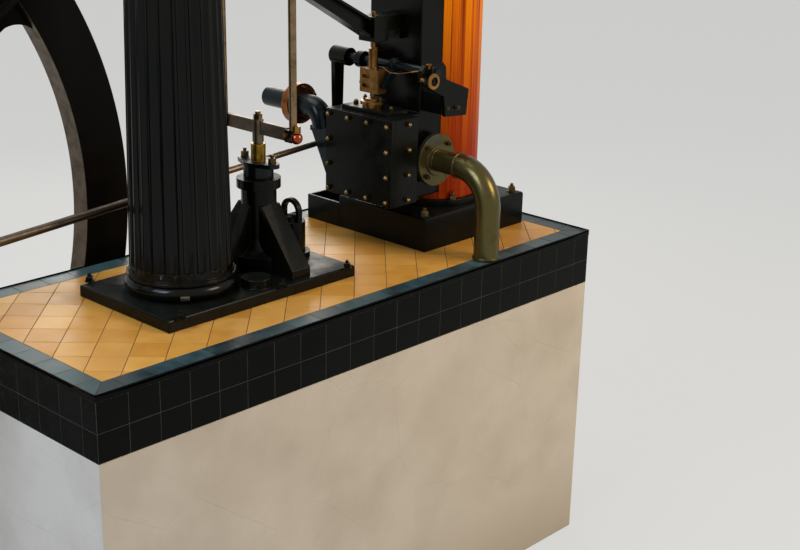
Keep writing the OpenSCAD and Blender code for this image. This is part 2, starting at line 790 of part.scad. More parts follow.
module steam_inlet() color("darkslategray") {
    tube_r = 56;
    bend_r = 95;
    pair_r = 104;
    pair_t = 45;
    stub_l = 212;
    leg_y = chest_w / 2 + tube_r + 4;
    ledge_x0 = chest_x0 + 1;
    ledge_z = chest_top - 111;
    ledge_t = 25;
    ledge_y1 = leg_y + tube_r;
    pipe_z = ledge_z + bend_r - 6;
    flange_y = leg_y + bend_r + 62;
    // Ledge and web that stand off the chest's far side
    block([ledge_x0, chest_w / 2, ledge_z - ledge_t], [inlet_x + tube_r, ledge_y1, ledge_z]);
    yz_plate(ledge_x0, ledge_x0 + 22) polygon([[chest_w / 2, chest_z + 94], [ledge_y1 - 12, ledge_z - ledge_t],
        [ledge_y1 - 12, ledge_z - ledge_t + 1], [chest_w / 2, ledge_z - ledge_t + 1]]);
    // Elbow that comes up out of the ledge, flange pair and stub
    elbow([inlet_x, leg_y + bend_r, pipe_z - bend_r], bend_r, tube_r);
    y_rod(inlet_x, pipe_z, tube_r, leg_y + bend_r - 1, flange_y);
    y_rod(inlet_x, pipe_z, pair_r, flange_y, flange_y + pair_t);
    y_rod(inlet_x, pipe_z, 50, flange_y + pair_t - 1, flange_y + pair_t + stub_l);
}

pump_flange_z = bed_z + pump_flange_rise;
gland_top_z = pump_flange_z + 79;
bush_top_z = gland_top_z + 80;
plunger_r = 22;
plunger_bore_r = plunger_r + pin_gap;
web_half = 55;
pump_r_out = pump_d / 2;

// A concave web from the barrel out to the given reach at the plate
module flared_web(reach, half_t) {
    web_top = 360;
    rise = web_top - plate_t;
    run = reach - pump_r_out;
    bow = arc_r(sqrt(rise * rise + run * run) / 2, 0.13 * rise);
    difference() {
        block([0, -half_t, plate_z], [reach, half_t, plate_z + rise]);
        translate([reach, 0, plate_z + 40]) rotate([0, atan2(run, rise - 40) , 0])
            translate([bow, 0, rise / 2]) y_rod(0, 0, bow, -half_t - 1, half_t + 1, $fn = 200);
        translate([reach, -half_t - 1, plate_z + 40]) rotate([0, -atan2(run, rise - 40), 0])
            cube([reach, 2 * half_t + 2, 2 * rise]);
    }
}

module pump_body() color("darkslategray") translate([pump_x, 0, 0]) difference() {
    union() {
        translate([0, 0, plate_z]) cylinder(r = pump_r_out, h = pump_flange_z - plate_z);
        pump_foot();
        translate([0, 0, pump_flange_z - 44]) cylinder(r = 103, h = 44);
        rotate([0, 0, -90]) flared_web(290, web_half);
        rotate([0, 0, 90]) flared_web(290, web_half);
        rotate([0, 0, 180]) flared_web(200, 30);
    }
    translate([0, 0, pump_flange_z - 340]) cylinder(r = plunger_bore_r, h = 400);
}

// The cut that leaves a hollow quarter-round, centred on the origin
module flare_cut(r, h) {
    circle(r);
    translate([-r, 0]) square([2 * r, h]);
}

module pump_gland() color("darkslategray") translate([pump_x, 0, pump_flange_z]) difference() {
    gland_flange_h = 20;
    neck_h = gland_top_z - pump_flange_z - gland_flange_h;
    union() {
        cylinder(r = 70, h = neck_h);
        translate([0, 0, neck_h]) oval_flange(74, 34, 95, gland_flange_h);
        translate([0, 0, neck_h]) cylinder(r = 34, h = bush_top_z - pump_flange_z - neck_h);
    }
    translate([0, 0, -1]) cylinder(r = plunger_bore_r, h = 300);
}

valve_box_x = pump_x + 204;
valve_box_top = bed_z + 228;
stirrup_r = 62;
stirrup_t = 20;

module pump_valve_box() color("darkslategray") difference() {
    box_r = 66;
    dome_rise = 32;
    dome_r = arc_r(stirrup_r - stirrup_t - 2, dome_rise);
    union() {
        translate([valve_box_x, 0, plate_z]) {
            cylinder(r = box_r, h = valve_box_top - plate_z);
            cylinder(r = box_r + 22, h = 24);
        }
        translate([valve_box_x, 0, valve_box_top]) intersection() {
            translate([0, 0, dome_rise - dome_r]) sphere(dome_r);
            translate([0, 0, -10]) cylinder(r = box_r, h = 60);
        }
        block([pump_x, -40, plate_z + 40], [valve_box_x, 40, plate_z + 130]);
    }
    translate([pump_x, 0, 0]) pump_foot();
    translate([pump_x, 0, plate_z - 10]) cylinder(r = pump_r_out, h = 300);
}

// The pump's round foot, flared out to the plate
module pump_foot() {
    flare_r = 75;
    flare_h = 120;
    foot_h = 150;
    translate([0, 0, plate_z]) rotate_extrude() difference() {
        square([pump_r_out + flare_r, foot_h]);
        translate([pump_r_out + flare_r, foot_h]) flare_cut(flare_r, flare_h);
    }
}

module pump_stirrup() color("darkslategray") difference() {
    half_w = 14;
    centre_z = bed_z + 276;
    translate([valve_box_x, 0, 0]) {
        translate([-half_w, 0, centre_z]) rotate([0, 90, 0]) cylinder(r = stirrup_r, h = 2 * half_w);
        block([-half_w, -stirrup_r, valve_box_top], [half_w, stirrup_r, centre_z]);
    }
    translate([valve_box_x - 2 * half_w, 0, 0]) {
        translate([0, 0, centre_z]) rotate([0, 90, 0])
            cylinder(r = stirrup_r - stirrup_t, h = 4 * half_w);
        block([0, stirrup_t - stirrup_r, valve_box_top - 1], [4 * half_w, stirrup_r - stirrup_t, centre_z]);
        block([0, -2 * stirrup_r, bed_z], [4 * half_w, 2 * stirrup_r, valve_box_top]);
    }
}

crossbar_z = bed_z + crossbar_rise;

module pump_crossbar() color("silver") {
    bar_h = 60;
    bar_half_t = 9;
    boss_foot = crossbar_z - 68;
    boss_top = crossbar_z + 38;
    plunger_foot = crossbar_z - 560;
    nut_h = 24;
    block([pump_x - bar_half_t, -clamp_y0, crossbar_z - bar_h / 2],
        [pump_x + bar_half_t, clamp_y0, crossbar_z + bar_h / 2]);
    translate([pump_x, 0, boss_foot]) cylinder(r = 26, h = boss_top - boss_foot);
    translate([pump_x, 0, plunger_foot]) cylinder(r = plunger_r, h = boss_foot - plunger_foot + 1);
    translate([pump_x, 0, boss_top]) cylinder(r = 22, h = nut_h, $fn = 6);
    translate([pump_x, 0, boss_top + nut_h]) cylinder(r = 13, h = 12);
}

clamp_y0 = side_rod_y - 34;
pump_pin_x = pump_r * cos(swing);
pump_pin_z = beam_z - pump_r * sin(swing);

module pump_side_rods() color("silver") both_sides() {
    rod_h = pump_pin_z - crossbar_z;
    ball_r = 28;
    lean = atan2(pump_pin_x - pump_x, rod_h);
    translate([pump_x, side_rod_y + 22, crossbar_z - 8]) sphere(ball_r);
    block([pump_x - 22, clamp_y0, crossbar_z - 30], [pump_x + 22, side_rod_y + 12, crossbar_z + 26]);
    translate([pump_x, side_rod_y, crossbar_z]) rotate([0, lean, 0])
        cylinder(d = side_rod_d, h = rod_h / cos(lean));
    y_rod(pump_pin_x, pump_pin_z, 48, rod_eye_y0, rod_eye_y1);
}

rod_top = [-end_x, beam_z + end_drop];
rod_foot = [crank_x, shaft_z + crank_r];
rod_lean = atan2(rod_top[0] - rod_foot[0], rod_top[1] - rod_foot[1]);
rod_l = (rod_top[1] - rod_foot[1]) / cos(rod_lean);
crank_y0 = 65;
crank_y1 = 165;

module connecting_rod() color("silver") hang_from(rod_top[0], rod_top[1], rod_lean) {
    crotch = 300;
    crotch_h = 80;
    fork_half = link_y1 - 4;
    yoke_foot = -crotch - crotch_h - 60;
    big_half = 95;
    big_h = 150;
    cotter_z = -rod_l + big_h - 56;
    shank_top_r = 48;
    shank_mid_r = 58;
    shank_l = rod_l - crotch - crotch_h - big_h;
    difference() {
        union() {
            both_sides() hanging_bar(crotch + 1, 72, 46, link_y0, link_y1);
            yz_plate(-50, 50) difference() {
                polygon([[-fork_half, link_y0 - crotch], [-fork_half, -crotch], [-shank_mid_r, yoke_foot],
                    [shank_mid_r, yoke_foot], [fork_half, -crotch], [fork_half, link_y0 - crotch]]);
                translate([0, link_y0 - crotch]) circle(link_y0);
            }
            translate([0, 0, -crotch - crotch_h - shank_l / 2])
                cylinder(r1 = shank_mid_r, r2 = shank_top_r, h = shank_l / 2 + 1);
            translate([0, 0, -rod_l + big_h - 1])
                cylinder(r1 = shank_top_r, r2 = shank_mid_r, h = shank_l / 2 + 1);
            // Strap round the crank pin's brasses, with its gib and cotter above them
            y_rod(0, -rod_l, big_half, -60, 60);
            block([-big_half, -60, -rod_l], [big_half, 60, -rod_l + big_h]);
            y_rod(0, -rod_l, 66, -66, 62);
            block([-big_half - 30, -11, cotter_z - 26], [big_half + 30, 11, cotter_z + 26]);
            block([-big_half - 12, -14, cotter_z + 24], [big_half + 12, 14, cotter_z + 40]);
        }
        both_sides() y_rod(0, 0, end_pin_d / 2 + pin_gap, link_y0 - 1, link_y1 + 1);
    }
    // Crank pin with its outer collar
    y_rod(0, -rod_l, 45, -82, crank_y0 - slide_gap);
    y_rod(0, -rod_l, 60, -88, -60);
}

module crank() color("darkslategray") difference() {
    hub_r = 140;
    eye_r = 95;
    union() {
        y_rod(crank_x, shaft_z, hub_r, crank_y0, crank_y1);
        y_rod(crank_x, shaft_z + crank_r, eye_r, crank_y0, crank_y1);
        xz_plate(crank_y0 + 12, crank_y1 - 12) polygon([[crank_x - hub_r + 8, shaft_z],
            [crank_x + hub_r - 8, shaft_z], [crank_x + eye_r - 5, shaft_z + crank_r],
            [crank_x - eye_r + 5, shaft_z + crank_r]]);
    }
    y_rod(crank_x, shaft_z, shaft_d / 2, crank_y0 + 10, crank_y1 + 1);
}

module crankshaft() color("silver") {
    y_rod(crank_x, shaft_z, shaft_d / 2, crank_y0 + 10, outer_bearing_y[1] + 30);
}

rim_r = wheel_d / 2;
rim_inner_r = rim_r - rim_depth;

module flywheel_rim() color("black") translate([crank_x, 0, 0]) difference() {
    y_rod(0, shaft_z, rim_r, wheel_y - rim_w / 2, wheel_y + rim_w / 2, $fn = 240);
    y_rod(0, shaft_z, rim_inner_r, wheel_y - rim_w, wheel_y + rim_w, $fn = 240);
}

hub_half = 127;

module flywheel_arms() color("black") difference() {
    hub_r = 230;
    blade_half = 24;
    rib_half = 52;
    translate([crank_x, 0, shaft_z]) {
        y_rod(0, 0, hub_r, wheel_y - 0.6 * hub_half, wheel_y + 0.6 * hub_half);
        y_rod(0, 0, hub_r - 68, wheel_y - hub_half, wheel_y + hub_half);
        intersection() {
            union() {
                for (i = [0 : arm_count - 1]) {
                    rotate([0, -arm_turn - i * 360 / arm_count, 0]) {
                        xz_plate(wheel_y - blade_half, wheel_y + blade_half)
                            polygon([[0, -110], [rim_inner_r + 50, -72], [rim_inner_r + 50, 72], [0, 110]]);
                        xz_plate(wheel_y - rib_half, wheel_y + rib_half)
                            polygon([[0, -26], [rim_inner_r + 50, -18], [rim_inner_r + 50, 18], [0, 26]]);
                        arm_flare();
                    }
                }
            }
            y_rod(0, 0, rim_inner_r, wheel_y - rim_w, wheel_y + rim_w, $fn = 240);
        }
    }
    y_rod(crank_x, shaft_z, shaft_d / 2, wheel_y - 2 * hub_half, wheel_y + 2 * hub_half);
}

// The arm's widening where it meets the rim, with round corners
module arm_flare() {
    flare_r = 150;
    half = 24;
    difference() {
        block([rim_inner_r - flare_r, wheel_y - half, -flare_r - 72],
            [rim_inner_r + 20, wheel_y + half, flare_r + 72]);
        for (side = [-1, 1]) {
            y_rod(rim_inner_r - flare_r, side * (flare_r + 72), flare_r, wheel_y - 60, wheel_y + 60);
        }
    }
}

module shaft_bearings() color("darkslategray") {
    sole_half = 260;
    sole_t = 46;
    lug_half = 200;
    lug_h = 38;
    cap_r = 138;
    flank_r = bearing_h - sole_t - lug_h;
    for (span = [inner_bearing_y, outer_bearing_y]) {
        y0 = span[0] + 10;
        y1 = span[1] - 10;
        difference() {
            union() {
                block([crank_x - sole_half, span[0], pier_z], [crank_x + sole_half, span[1], pier_z + sole_t]);
                difference() {
                    block([crank_x - lug_half, y0, pier_z], [crank_x + lug_half, y1, shaft_z + lug_h]);
                    for (side = [-1, 1]) {
                        y_rod(crank_x + side * lug_half, pier_z + sole_t + flank_r / 2, flank_r / 2,
                            span[0], span[1]);
                    }
                }
                y_rod(crank_x, shaft_z, cap_r, y0, y1);
                // Oil box on the cap
                block([crank_x - 42, y0 + 35, shaft_z + 100], [crank_x + 42, y1 - 35, shaft_z + cap_r + 34]);
            }
            y_rod(crank_x, shaft_z, shaft_d / 2 + pin_gap, span[0] - 1, span[1] + 1);
        }
    }
}

sheave_z = shaft_z - eccentric_r;
strap_y = [eccentric_y - 19, eccentric_y + 19];

module eccentric_sheave() color("silver") difference() {
    y_rod(crank_x, sheave_z, sheave_d / 2, strap_y[0] - 2, strap_y[1] + 2);
    y_rod(crank_x, shaft_z, shaft_d / 2, strap_y[0] - 10, strap_y[1] + 10);
}

lever_pin = [rocker_x, rocker_z - lever_l];

module eccentric_rod() color("peru") {
    strap_r = sheave_d / 2 + 34;
    lug_half = 26;
    lug_rise = 26;
    neck_l = 220;
    neck_half = 52;
    run = lever_pin[0] - crank_x;
    lean = atan((lever_pin[1] - sheave_z) / run);
    bar_l = run / cos(lean) - strap_r + 10;
    difference() {
        union() {
            y_rod(crank_x, sheave_z, strap_r, strap_y[0], strap_y[1]);
            // Lugs where the strap's halves are bolted together
            block([crank_x - lug_half, strap_y[0], sheave_z - strap_r - lug_rise],
                [crank_x + lug_half, strap_y[1], sheave_z + strap_r + lug_rise]);
            translate([lever_pin[0], eccentric_y, lever_pin[1]]) rotate([0, -90 - lean, 0])
                cylinder(d1 = eccentric_rod_d, d2 = eccentric_root_d, h = bar_l);
            translate([crank_x, 0, sheave_z]) rotate([0, -lean, 0])
                xz_plate(strap_y[0] + 3, strap_y[1] - 3) polygon([[strap_r - 14, -neck_half],
                    [strap_r + neck_l, -eccentric_rod_d / 2], [strap_r + neck_l, eccentric_rod_d / 2],
                    [strap_r - 14, neck_half]]);
        }
        y_rod(crank_x, sheave_z, sheave_d / 2 + pin_gap, strap_y[0] - 1, strap_y[1] + 1);
    }
    y_rod(lever_pin[0], lever_pin[1], 34, lever_y1 + slide_gap, strap_y[1] + 2);
}

foundation();
inner_bearing_pier();
outer_bearing_pier();
side_tiling();
border_tiling();
floor_tiling();
bed_plate();
column_base();
column_shaft();
column_capital();
beam_pedestal();
beam_bearing_caps();
beam();
beam_gudgeon();
beam_end_pins();
pump_cross_shaft();
cylinder_base();
drain_box();
cylinder_body();
cylinder_lagging();
cylinder_cover();
crosshead_guides();
piston_rod();
crosshead();
main_links();
valve_chest();
chest_cover();
valve_gland();
valve_spindle();
steam_passage();
column_brace();
spindle_guide();
rocker_shaft();
rocker_lever();
rocker_bracket();
exhaust_pipe();
steam_inlet();
pump_body();
pump_gland();
pump_valve_box();
pump_stirrup();
pump_crossbar();
pump_side_rods();
connecting_rod();
crank();
crankshaft();
flywheel_rim();
flywheel_arms();
shaft_bearings();
eccentric_sheave();
eccentric_rod();
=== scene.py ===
"""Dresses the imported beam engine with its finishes, tiles, staves, nuts and small fittings.

Everything is in metres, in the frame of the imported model: +X towards the cylinder, +Y towards
the flywheel, +Z up, with the origin on the column's axis at ground level.
"""

import itertools
import json
import logging
import math
import random
from collections.abc import Callable, Iterable, Sequence
from dataclasses import dataclass
from enum import Enum
from functools import partial

import bmesh
import bpy
from mathutils import Matrix, Vector

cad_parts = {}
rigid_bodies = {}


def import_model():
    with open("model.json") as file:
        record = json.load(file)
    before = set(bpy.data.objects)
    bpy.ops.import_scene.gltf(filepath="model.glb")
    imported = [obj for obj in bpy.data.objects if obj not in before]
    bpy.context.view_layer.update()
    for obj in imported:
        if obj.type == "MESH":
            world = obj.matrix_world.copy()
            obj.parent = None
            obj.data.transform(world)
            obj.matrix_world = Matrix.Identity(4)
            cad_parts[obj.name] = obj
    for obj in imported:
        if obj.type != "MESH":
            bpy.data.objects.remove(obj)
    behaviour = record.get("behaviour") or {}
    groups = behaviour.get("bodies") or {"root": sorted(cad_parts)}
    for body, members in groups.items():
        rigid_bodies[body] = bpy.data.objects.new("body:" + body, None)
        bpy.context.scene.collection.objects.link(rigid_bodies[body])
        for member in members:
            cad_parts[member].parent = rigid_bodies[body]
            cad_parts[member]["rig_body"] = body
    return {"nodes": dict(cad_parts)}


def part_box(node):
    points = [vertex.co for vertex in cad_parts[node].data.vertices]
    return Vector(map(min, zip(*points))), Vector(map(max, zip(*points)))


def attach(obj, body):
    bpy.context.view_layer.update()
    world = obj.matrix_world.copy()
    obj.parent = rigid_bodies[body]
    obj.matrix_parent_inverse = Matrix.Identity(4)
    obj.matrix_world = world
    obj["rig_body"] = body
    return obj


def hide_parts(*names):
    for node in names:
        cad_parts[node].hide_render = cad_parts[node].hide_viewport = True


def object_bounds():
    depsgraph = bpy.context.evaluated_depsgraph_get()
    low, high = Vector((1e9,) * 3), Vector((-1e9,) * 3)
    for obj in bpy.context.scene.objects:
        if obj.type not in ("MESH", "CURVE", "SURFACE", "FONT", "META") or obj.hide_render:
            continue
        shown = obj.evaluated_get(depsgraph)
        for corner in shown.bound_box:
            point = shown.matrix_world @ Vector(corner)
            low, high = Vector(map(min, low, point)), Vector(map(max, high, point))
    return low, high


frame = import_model()
CAD_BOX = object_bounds()
LOG = logging.getLogger("beam_engine")

Point = tuple[float, float, float]
Profile = list[tuple[float, float]]
Socket = bpy.types.NodeSocket
NodeAdder = Callable[..., bpy.types.Node]
MM = 0.001
UP = (0, 0, 1)
NEAR = (0, -1, 0)
FAR = (0, 1, 0)
# A Mix node's inputs for its two colours and its two vectors, which share their names
COLOUR_A, COLOUR_B = 6, 7
VECTOR_A, VECTOR_B = 4, 5


def srgb(code: str) -> tuple[float, float, float, float]:
    """Turns a sRGB hex colour into linear RGBA.

    Args:
        code: Six hex digits after a hash sign.

    Returns:
        Linear red, green, blue and an alpha of one.
    """
    channels = [int(code[i : i + 2], 16) / 255 for i in (1, 3, 5)]
    linear = [c / 12.92 if c <= 0.04045 else ((c + 0.055) / 1.055) ** 2.4 for c in channels]
    return (*linear, 1.0)


def add_node(
    tree: bpy.types.NodeTree,
    kind: str,
    inputs: dict[str | int, object] | None = None,
    ramp: Sequence[tuple[float, str]] = (),
    **settings: object,
) -> bpy.types.Node:
    """Adds one shader node with its settings, values and links.

    Args:
        tree: The material's or world's node tree.
        kind: The node's type without the ShaderNode prefix.
        inputs: A value, a socket to link from, or a node whose first output in use is linked, for
            each input by name or number.
        ramp: Places and hex colours of a colour ramp's stops.
        **settings: Properties of the node itself.

    Returns:
        The new node.
    """
    node = tree.nodes.new(f"ShaderNode{kind}")
    for key, value in settings.items():
        setattr(node, key, value)
    for index, (place, code) in enumerate(ramp):
        stops = node.color_ramp.elements
        stop = stops[index] if index < 2 else stops.new(place)
        stop.position, stop.color = place, srgb(code)
    for key, value in (inputs or {}).items():
        if isinstance(value, bpy.types.Node):
            value = next(output for output in value.outputs if output.enabled)
        if isinstance(value, Socket):
            tree.links.new(value, node.inputs[key])
        else:
            node.inputs[key].default_value = value
    return node


def backdrop_rays(add: NodeAdder) -> bpy.types.Node:
    """Tells the rays that see the backdrop from the light that falls on the object.

    Args:
        add: Adds a node to the material or the world.

    Returns:
        A node that gives one for rays from the camera, metal and glass, and zero for all others.
    """
    rays = add("LightPath").outputs
    seen = add("Math", {0: rays["Is Camera Ray"], 1: rays["Is Glossy Ray"]}, operation="MAXIMUM")
    return add("Math", {0: seen.outputs[0], 1: rays["Is Transmission Ray"]}, operation="MAXIMUM")


@dataclass(frozen=True)
class Finish:
    """A surface finish: its material's name and the record's slot that it belongs to."""

    name: str
    slot: str

    def surface(self, add: NodeAdder, at: Socket) -> bpy.types.Node:
        """Builds the shader from the object coordinates.

        Args:
            add: Adds a node to the material.
            at: The object coordinates, in metres.

        Returns:
            The shader node that goes to the output.
        """
        raise NotImplementedError

    def material(self) -> bpy.types.Material:
        """Makes the material once and returns it every time.

        Returns:
            The finish's material.
        """
        found = bpy.data.materials.get(self.name)
        if found:
            return found
        made = bpy.data.materials.new(self.name)
        made.use_nodes = True
        made.node_tree.nodes.clear()
        add = partial(add_node, made.node_tree)
        at = add("TexCoord").outputs["Object"]
        add("OutputMaterial", {"Surface": self.surface(add, at)})
        return made


@dataclass(frozen=True)
class BrushedEnamel(Finish):
    """Oil enamel brushed on cast iron: near black, glossy, with the sand-cast skin showing through.

    The edges turn paler and warmer, partly scuffed and partly a painted highlight, and dust settles on what
    faces up.
    """

    coat: str = "#060805"
    shade: str = "#0b0c06"
    # Colour of the paler edges, partly scuffing and partly a painted highlight
    scuffed_and_highlit_edge: str = "#3a3520"
    dust: str = "#1a211f"
    roughness: float = 0.24
    skin: float = 0.2
    # How strongly the edges take that painted highlight and scuffing
    edge_scuff_and_highlight: float = 0.5
    shine: float = 0.13

    def surface(self, add: NodeAdder, at: Socket) -> bpy.types.Node:
        """Enamel over a cast skin, with paler edges that are partly scuffed and partly a painted highlight,
        and dust.

        Args:
            add: Adds a node to the material.
            at: The object coordinates, in metres.

        Returns:
            The shader node that goes to the output.
        """
        # The coat's tone drifts in clouds of about 200 mm
        clouds = add("TexNoise", {"Vector": at, "Scale": 5.0, "Detail": 4.0})
        tone = add("ValToRGB", {0: clouds}, ramp=((0.38, self.coat), (0.66, self.shade)))
        # The cast skin is a pebbled surface with grains of about 4 mm on swells of about 35 mm
        grain = add("TexNoise", {"Vector": at, "Scale": 240.0, "Detail": 3.0})
        swell = add("TexNoise", {"Vector": at, "Scale": 28.0, "Detail": 2.0})
        relief = add("Math", {0: grain, 1: self.skin, 2: swell}, operation="MULTIPLY_ADD")
        bump = add("Bump", {"Height": relief, "Strength": 0.3, "Distance": 0.8 * MM})
        # A rounded edge differs from the flat face beside it, and there the coat is made paler: partly
        # scuffing, partly a painted edge highlight
        rounded = add("Bevel", {"Radius": 3.5 * MM}, samples=4)
        flat = add("NewGeometry").outputs["Normal"]
        likeness = add("VectorMath", {0: rounded, 1: flat}, operation="DOT_PRODUCT")
        edge = add("MapRange", {0: likeness.outputs["Value"], 1: 0.97, 2: 0.80, 3: 0.0, 4: self.edge_scuff_and_highlight})
        # The paler edges, scuffing and painted highlight both, are broken into patches of about 30 mm
        patch = add("TexNoise", {"Vector": at, "Scale": 34.0, "Detail": 5.0, "Roughness": 0.65})
        patchy = add("MapRange", {0: patch, 1: 0.42, 2: 0.62})
        scuffed_and_highlit = add("Math", {0: edge, 1: patchy}, operation="MULTIPLY")
        body = add("Mix", {"Factor": scuffed_and_highlit, COLOUR_A: tone, COLOUR_B: srgb(self.scuffed_and_highlit_edge)}, data_type="RGBA")
        # Dust lies on what faces up, in drifts of about 90 mm, and makes it duller
        up = add("SeparateXYZ", {0: add("TexCoord").outputs["Normal"]})
        lies = add("MapRange", {0: up.outputs["Z"], 1: 0.75, 2: 1.0, 3: 0.0, 4: 0.42})
        drift = add("TexNoise", {"Vector": at, "Scale": 11.0, "Detail": 6.0, "Roughness": 0.6})
        settled = add("Math", {0: lies, 1: drift}, operation="MULTIPLY")
        dusty = add("Mix", {"Factor": settled, COLOUR_A: body, COLOUR_B: srgb(self.dust)}, data_type="RGBA")
        rough = add(
            "MapRange", {0: drift, 1: 0.3, 2: 0.7, 3: self.roughness - 0.06, 4: self.roughness + 0.1}
        )
        rougher = add("Math", {0: settled, 1: 0.6, 2: rough}, operation="MULTIPLY_ADD")
        normal = add("Mix", {"Factor": 0.5, VECTOR_A: bump, VECTOR_B: rounded}, data_type="VECTOR")
        return add(
            "BsdfPrincipled",
            {"Base Color": dusty, "Roughness": rougher, "Specular IOR Level": self.shine, "Normal": normal},
        )


@dataclass(frozen=True)
class WorkedMetal(Finish):
    """Bare metal, turned or filed and left to tarnish: a metal with dull patches and fine tool lines."""

    bright: str = "#9b9184"
    tarnish: str = "#5d4a37"
    roughness: float = 0.32
    cover: float = 0.5
    lines: Point = (40.0, 40.0, 900.0)
    metal: float = 1.0
    relief: float = 0.25

    def surface(self, add: NodeAdder, at: Socket) -> bpy.types.Node:
        """Metal under a patchy tarnish, with tool lines in its bump.

        Args:
            add: Adds a node to the material.
            at: The object coordinates, in metres.

        Returns:
            The shader node that goes to the output.
        """
        # Stains of about 60 mm hold flecks of about 8 mm
        stain = add("TexNoise", {"Vector": at, "Scale": 16.0, "Detail": 6.0, "Roughness": 0.62})
        fleck = add("TexNoise", {"Vector": at, "Scale": 120.0, "Detail": 4.0, "Roughness": 0.6})
        mixed = add("Math", {0: fleck, 1: 0.25, 2: stain}, operation="MULTIPLY_ADD")
        cover = add("MapRange", {0: mixed, 1: 0.80 - self.cover * 0.5, 2: 1.08 - self.cover * 0.5})
        tones = {COLOUR_A: srgb(self.bright), COLOUR_B: srgb(self.tarnish)}
        colour = add("Mix", {"Factor": cover, **tones}, data_type="RGBA")
        # Tool lines are about 1 mm apart, coarser than real ones so that they show
        stretched = add("Mapping", {"Vector": at, "Scale": self.lines})
        tool = add("TexNoise", {"Vector": stretched, "Scale": 1.0, "Detail": 2.0})
        bump = add("Bump", {"Height": tool, "Strength": self.relief, "Distance": 0.25 * MM})
        rough = add(
            "MapRange", {0: cover, 1: 0.0, 2: 1.0, 3: self.roughness - 0.04, 4: self.roughness + 0.1}
        )
        return add(
            "BsdfPrincipled",
            {"Base Color": colour, "Metallic": self.metal, "Roughness": rough, "Normal": bump},
        )


@dataclass(frozen=True)
class VarnishedStave(Finish):
    """Varnished pitch pine staves: straight grain up the stave, orange to red, under a thin gloss coat,
    with a painted shade towards the cylinder's foot.
    """

    pale: str = "#f4980a"
    warm: str = "#e27203"
    dark: str = "#8a3404"
    # Colour of the painted shade round the cylinder's foot, and the heights where that shade starts and
    # where it is deepest
    foot: str = "#8c1a03"
    unshaded_height: float = 2.92
    full_shade_height: float = 2.2

    def surface(self, add: NodeAdder, at: Socket) -> bpy.types.Node:
        """Long grain with a tone for each stave and a coat of varnish.

        Args:
            add: Adds a node to the material.
            at: The object coordinates, in metres.

        Returns:
            The shader node that goes to the output.
        """
        tone = add("Attribute", attribute_name="tone").outputs["Fac"]
        # Growth rings meet the face as lines about 4 mm apart that run up the stave
        along = add("Mapping", {"Vector": at, "Scale": (260.0, 260.0, 2.2)})
        offset = add("VectorMath", {0: (37.0, 11.0, 50.0), "Scale": tone}, operation="SCALE")
        place = add("VectorMath", {0: along, 1: offset}, operation="ADD")
        grain = add("TexNoise", {"Vector": place, "Scale": 1.0, "Detail": 5.0, "Distortion": 0.4})
        broad = add("Mapping", {"Vector": place, "Scale": (0.3, 0.3, 0.5)})
        cloud = add("TexNoise", {"Vector": broad, "Scale": 1.0, "Detail": 3.0})
        mixed = add("Math", {0: grain, 1: 0.42, 2: cloud}, operation="MULTIPLY_ADD")
        level = add("Math", {0: tone, 1: 0.36, 2: mixed}, operation="MULTIPLY_ADD")
        spread = add("MapRange", {0: level, 1: 0.57, 2: 1.2})
        wood = add("ValToRGB", {0: spread}, ramp=((0.0, self.dark), (0.42, self.warm), (1.0, self.pale)))
        # A painted shade darkens the wood towards red round the cylinder's foot
        height = add("SeparateXYZ", {0: at})
        shade_depth = add("Math", {0: cloud, 1: -0.5, 2: height.outputs["Z"]}, operation="MULTIPLY_ADD")
        painted_shade = add("MapRange", {0: shade_depth, 1: self.unshaded_height - 0.25, 2: self.full_shade_height - 0.25, 4: 0.85})
        colour = add("Mix", {"Factor": painted_shade, COLOUR_A: wood, COLOUR_B: srgb(self.foot)}, data_type="RGBA")
        bump = add("Bump", {"Height": grain, "Strength": 0.25, "Distance": 0.3 * MM})
        return add(
            "BsdfPrincipled",
            {
                "Base Color": colour,
                "Roughness": 0.42,
                "Specular IOR Level": 0.08,
                "Coat Weight": 0.03,
                "Coat Roughness": 0.2,
                "Normal": bump,
            },
        )


@dataclass(frozen=True)
class FiredTile(Finish):
    """Fired clay tile: each tile has its own tone, a mottled body and a slightly uneven face."""

    base: str = "#040605"
    other: str = "#090d0b"
    roughness: float = 0.18
    mottle: float = 9.0
    wave: float = 0.4
    shine: float = 0.06

    def surface(self, add: NodeAdder, at: Socket) -> bpy.types.Node:
        """A toned, mottled face with a slow wave in it.

        Args:
            add: Adds a node to the material.
            at: The object coordinates, in metres.

        Returns:
            The shader node that goes to the output.
        """
        tone = add("Attribute", attribute_name="tone").outputs["Fac"]
        # The body is mottled in clouds of 70 to 140 mm
        clouds = add("TexNoise", {"Vector": at, "Scale": self.mottle, "Detail": 6.0, "Roughness": 0.6})
        level = add("Math", {0: tone, 1: 0.5, 2: clouds}, operation="MULTIPLY_ADD")
        spread = add("MapRange", {0: level, 1: 0.45, 2: 1.05})
        tones = {COLOUR_A: srgb(self.base), COLOUR_B: srgb(self.other)}
        colour = add("Mix", {"Factor": spread, **tones}, data_type="RGBA")
        # The face has waves of about 45 mm and pits of about 2 mm, and scuffs of about 70 mm dull it
        slow = add("TexNoise", {"Vector": at, "Scale": 22.0, "Detail": 2.0})
        speck = add("TexNoise", {"Vector": at, "Scale": 420.0, "Detail": 2.0})
        height = add("Math", {0: speck, 1: 0.06, 2: slow}, operation="MULTIPLY_ADD")
        bump = add("Bump", {"Height": height, "Strength": self.wave, "Distance": 1.0 * MM})
        scuff = add("TexNoise", {"Vector": at, "Scale": 14.0, "Detail": 7.0, "Roughness": 0.7})
        rough = add("MapRange", {0: scuff, 1: 0.35, 2: 0.7, 3: self.roughness, 4: self.roughness + 0.16})
        return add(
            "BsdfPrincipled",
            {"Base Color": colour, "Roughness": rough, "Specular IOR Level": self.shine, "Normal": bump},
        )


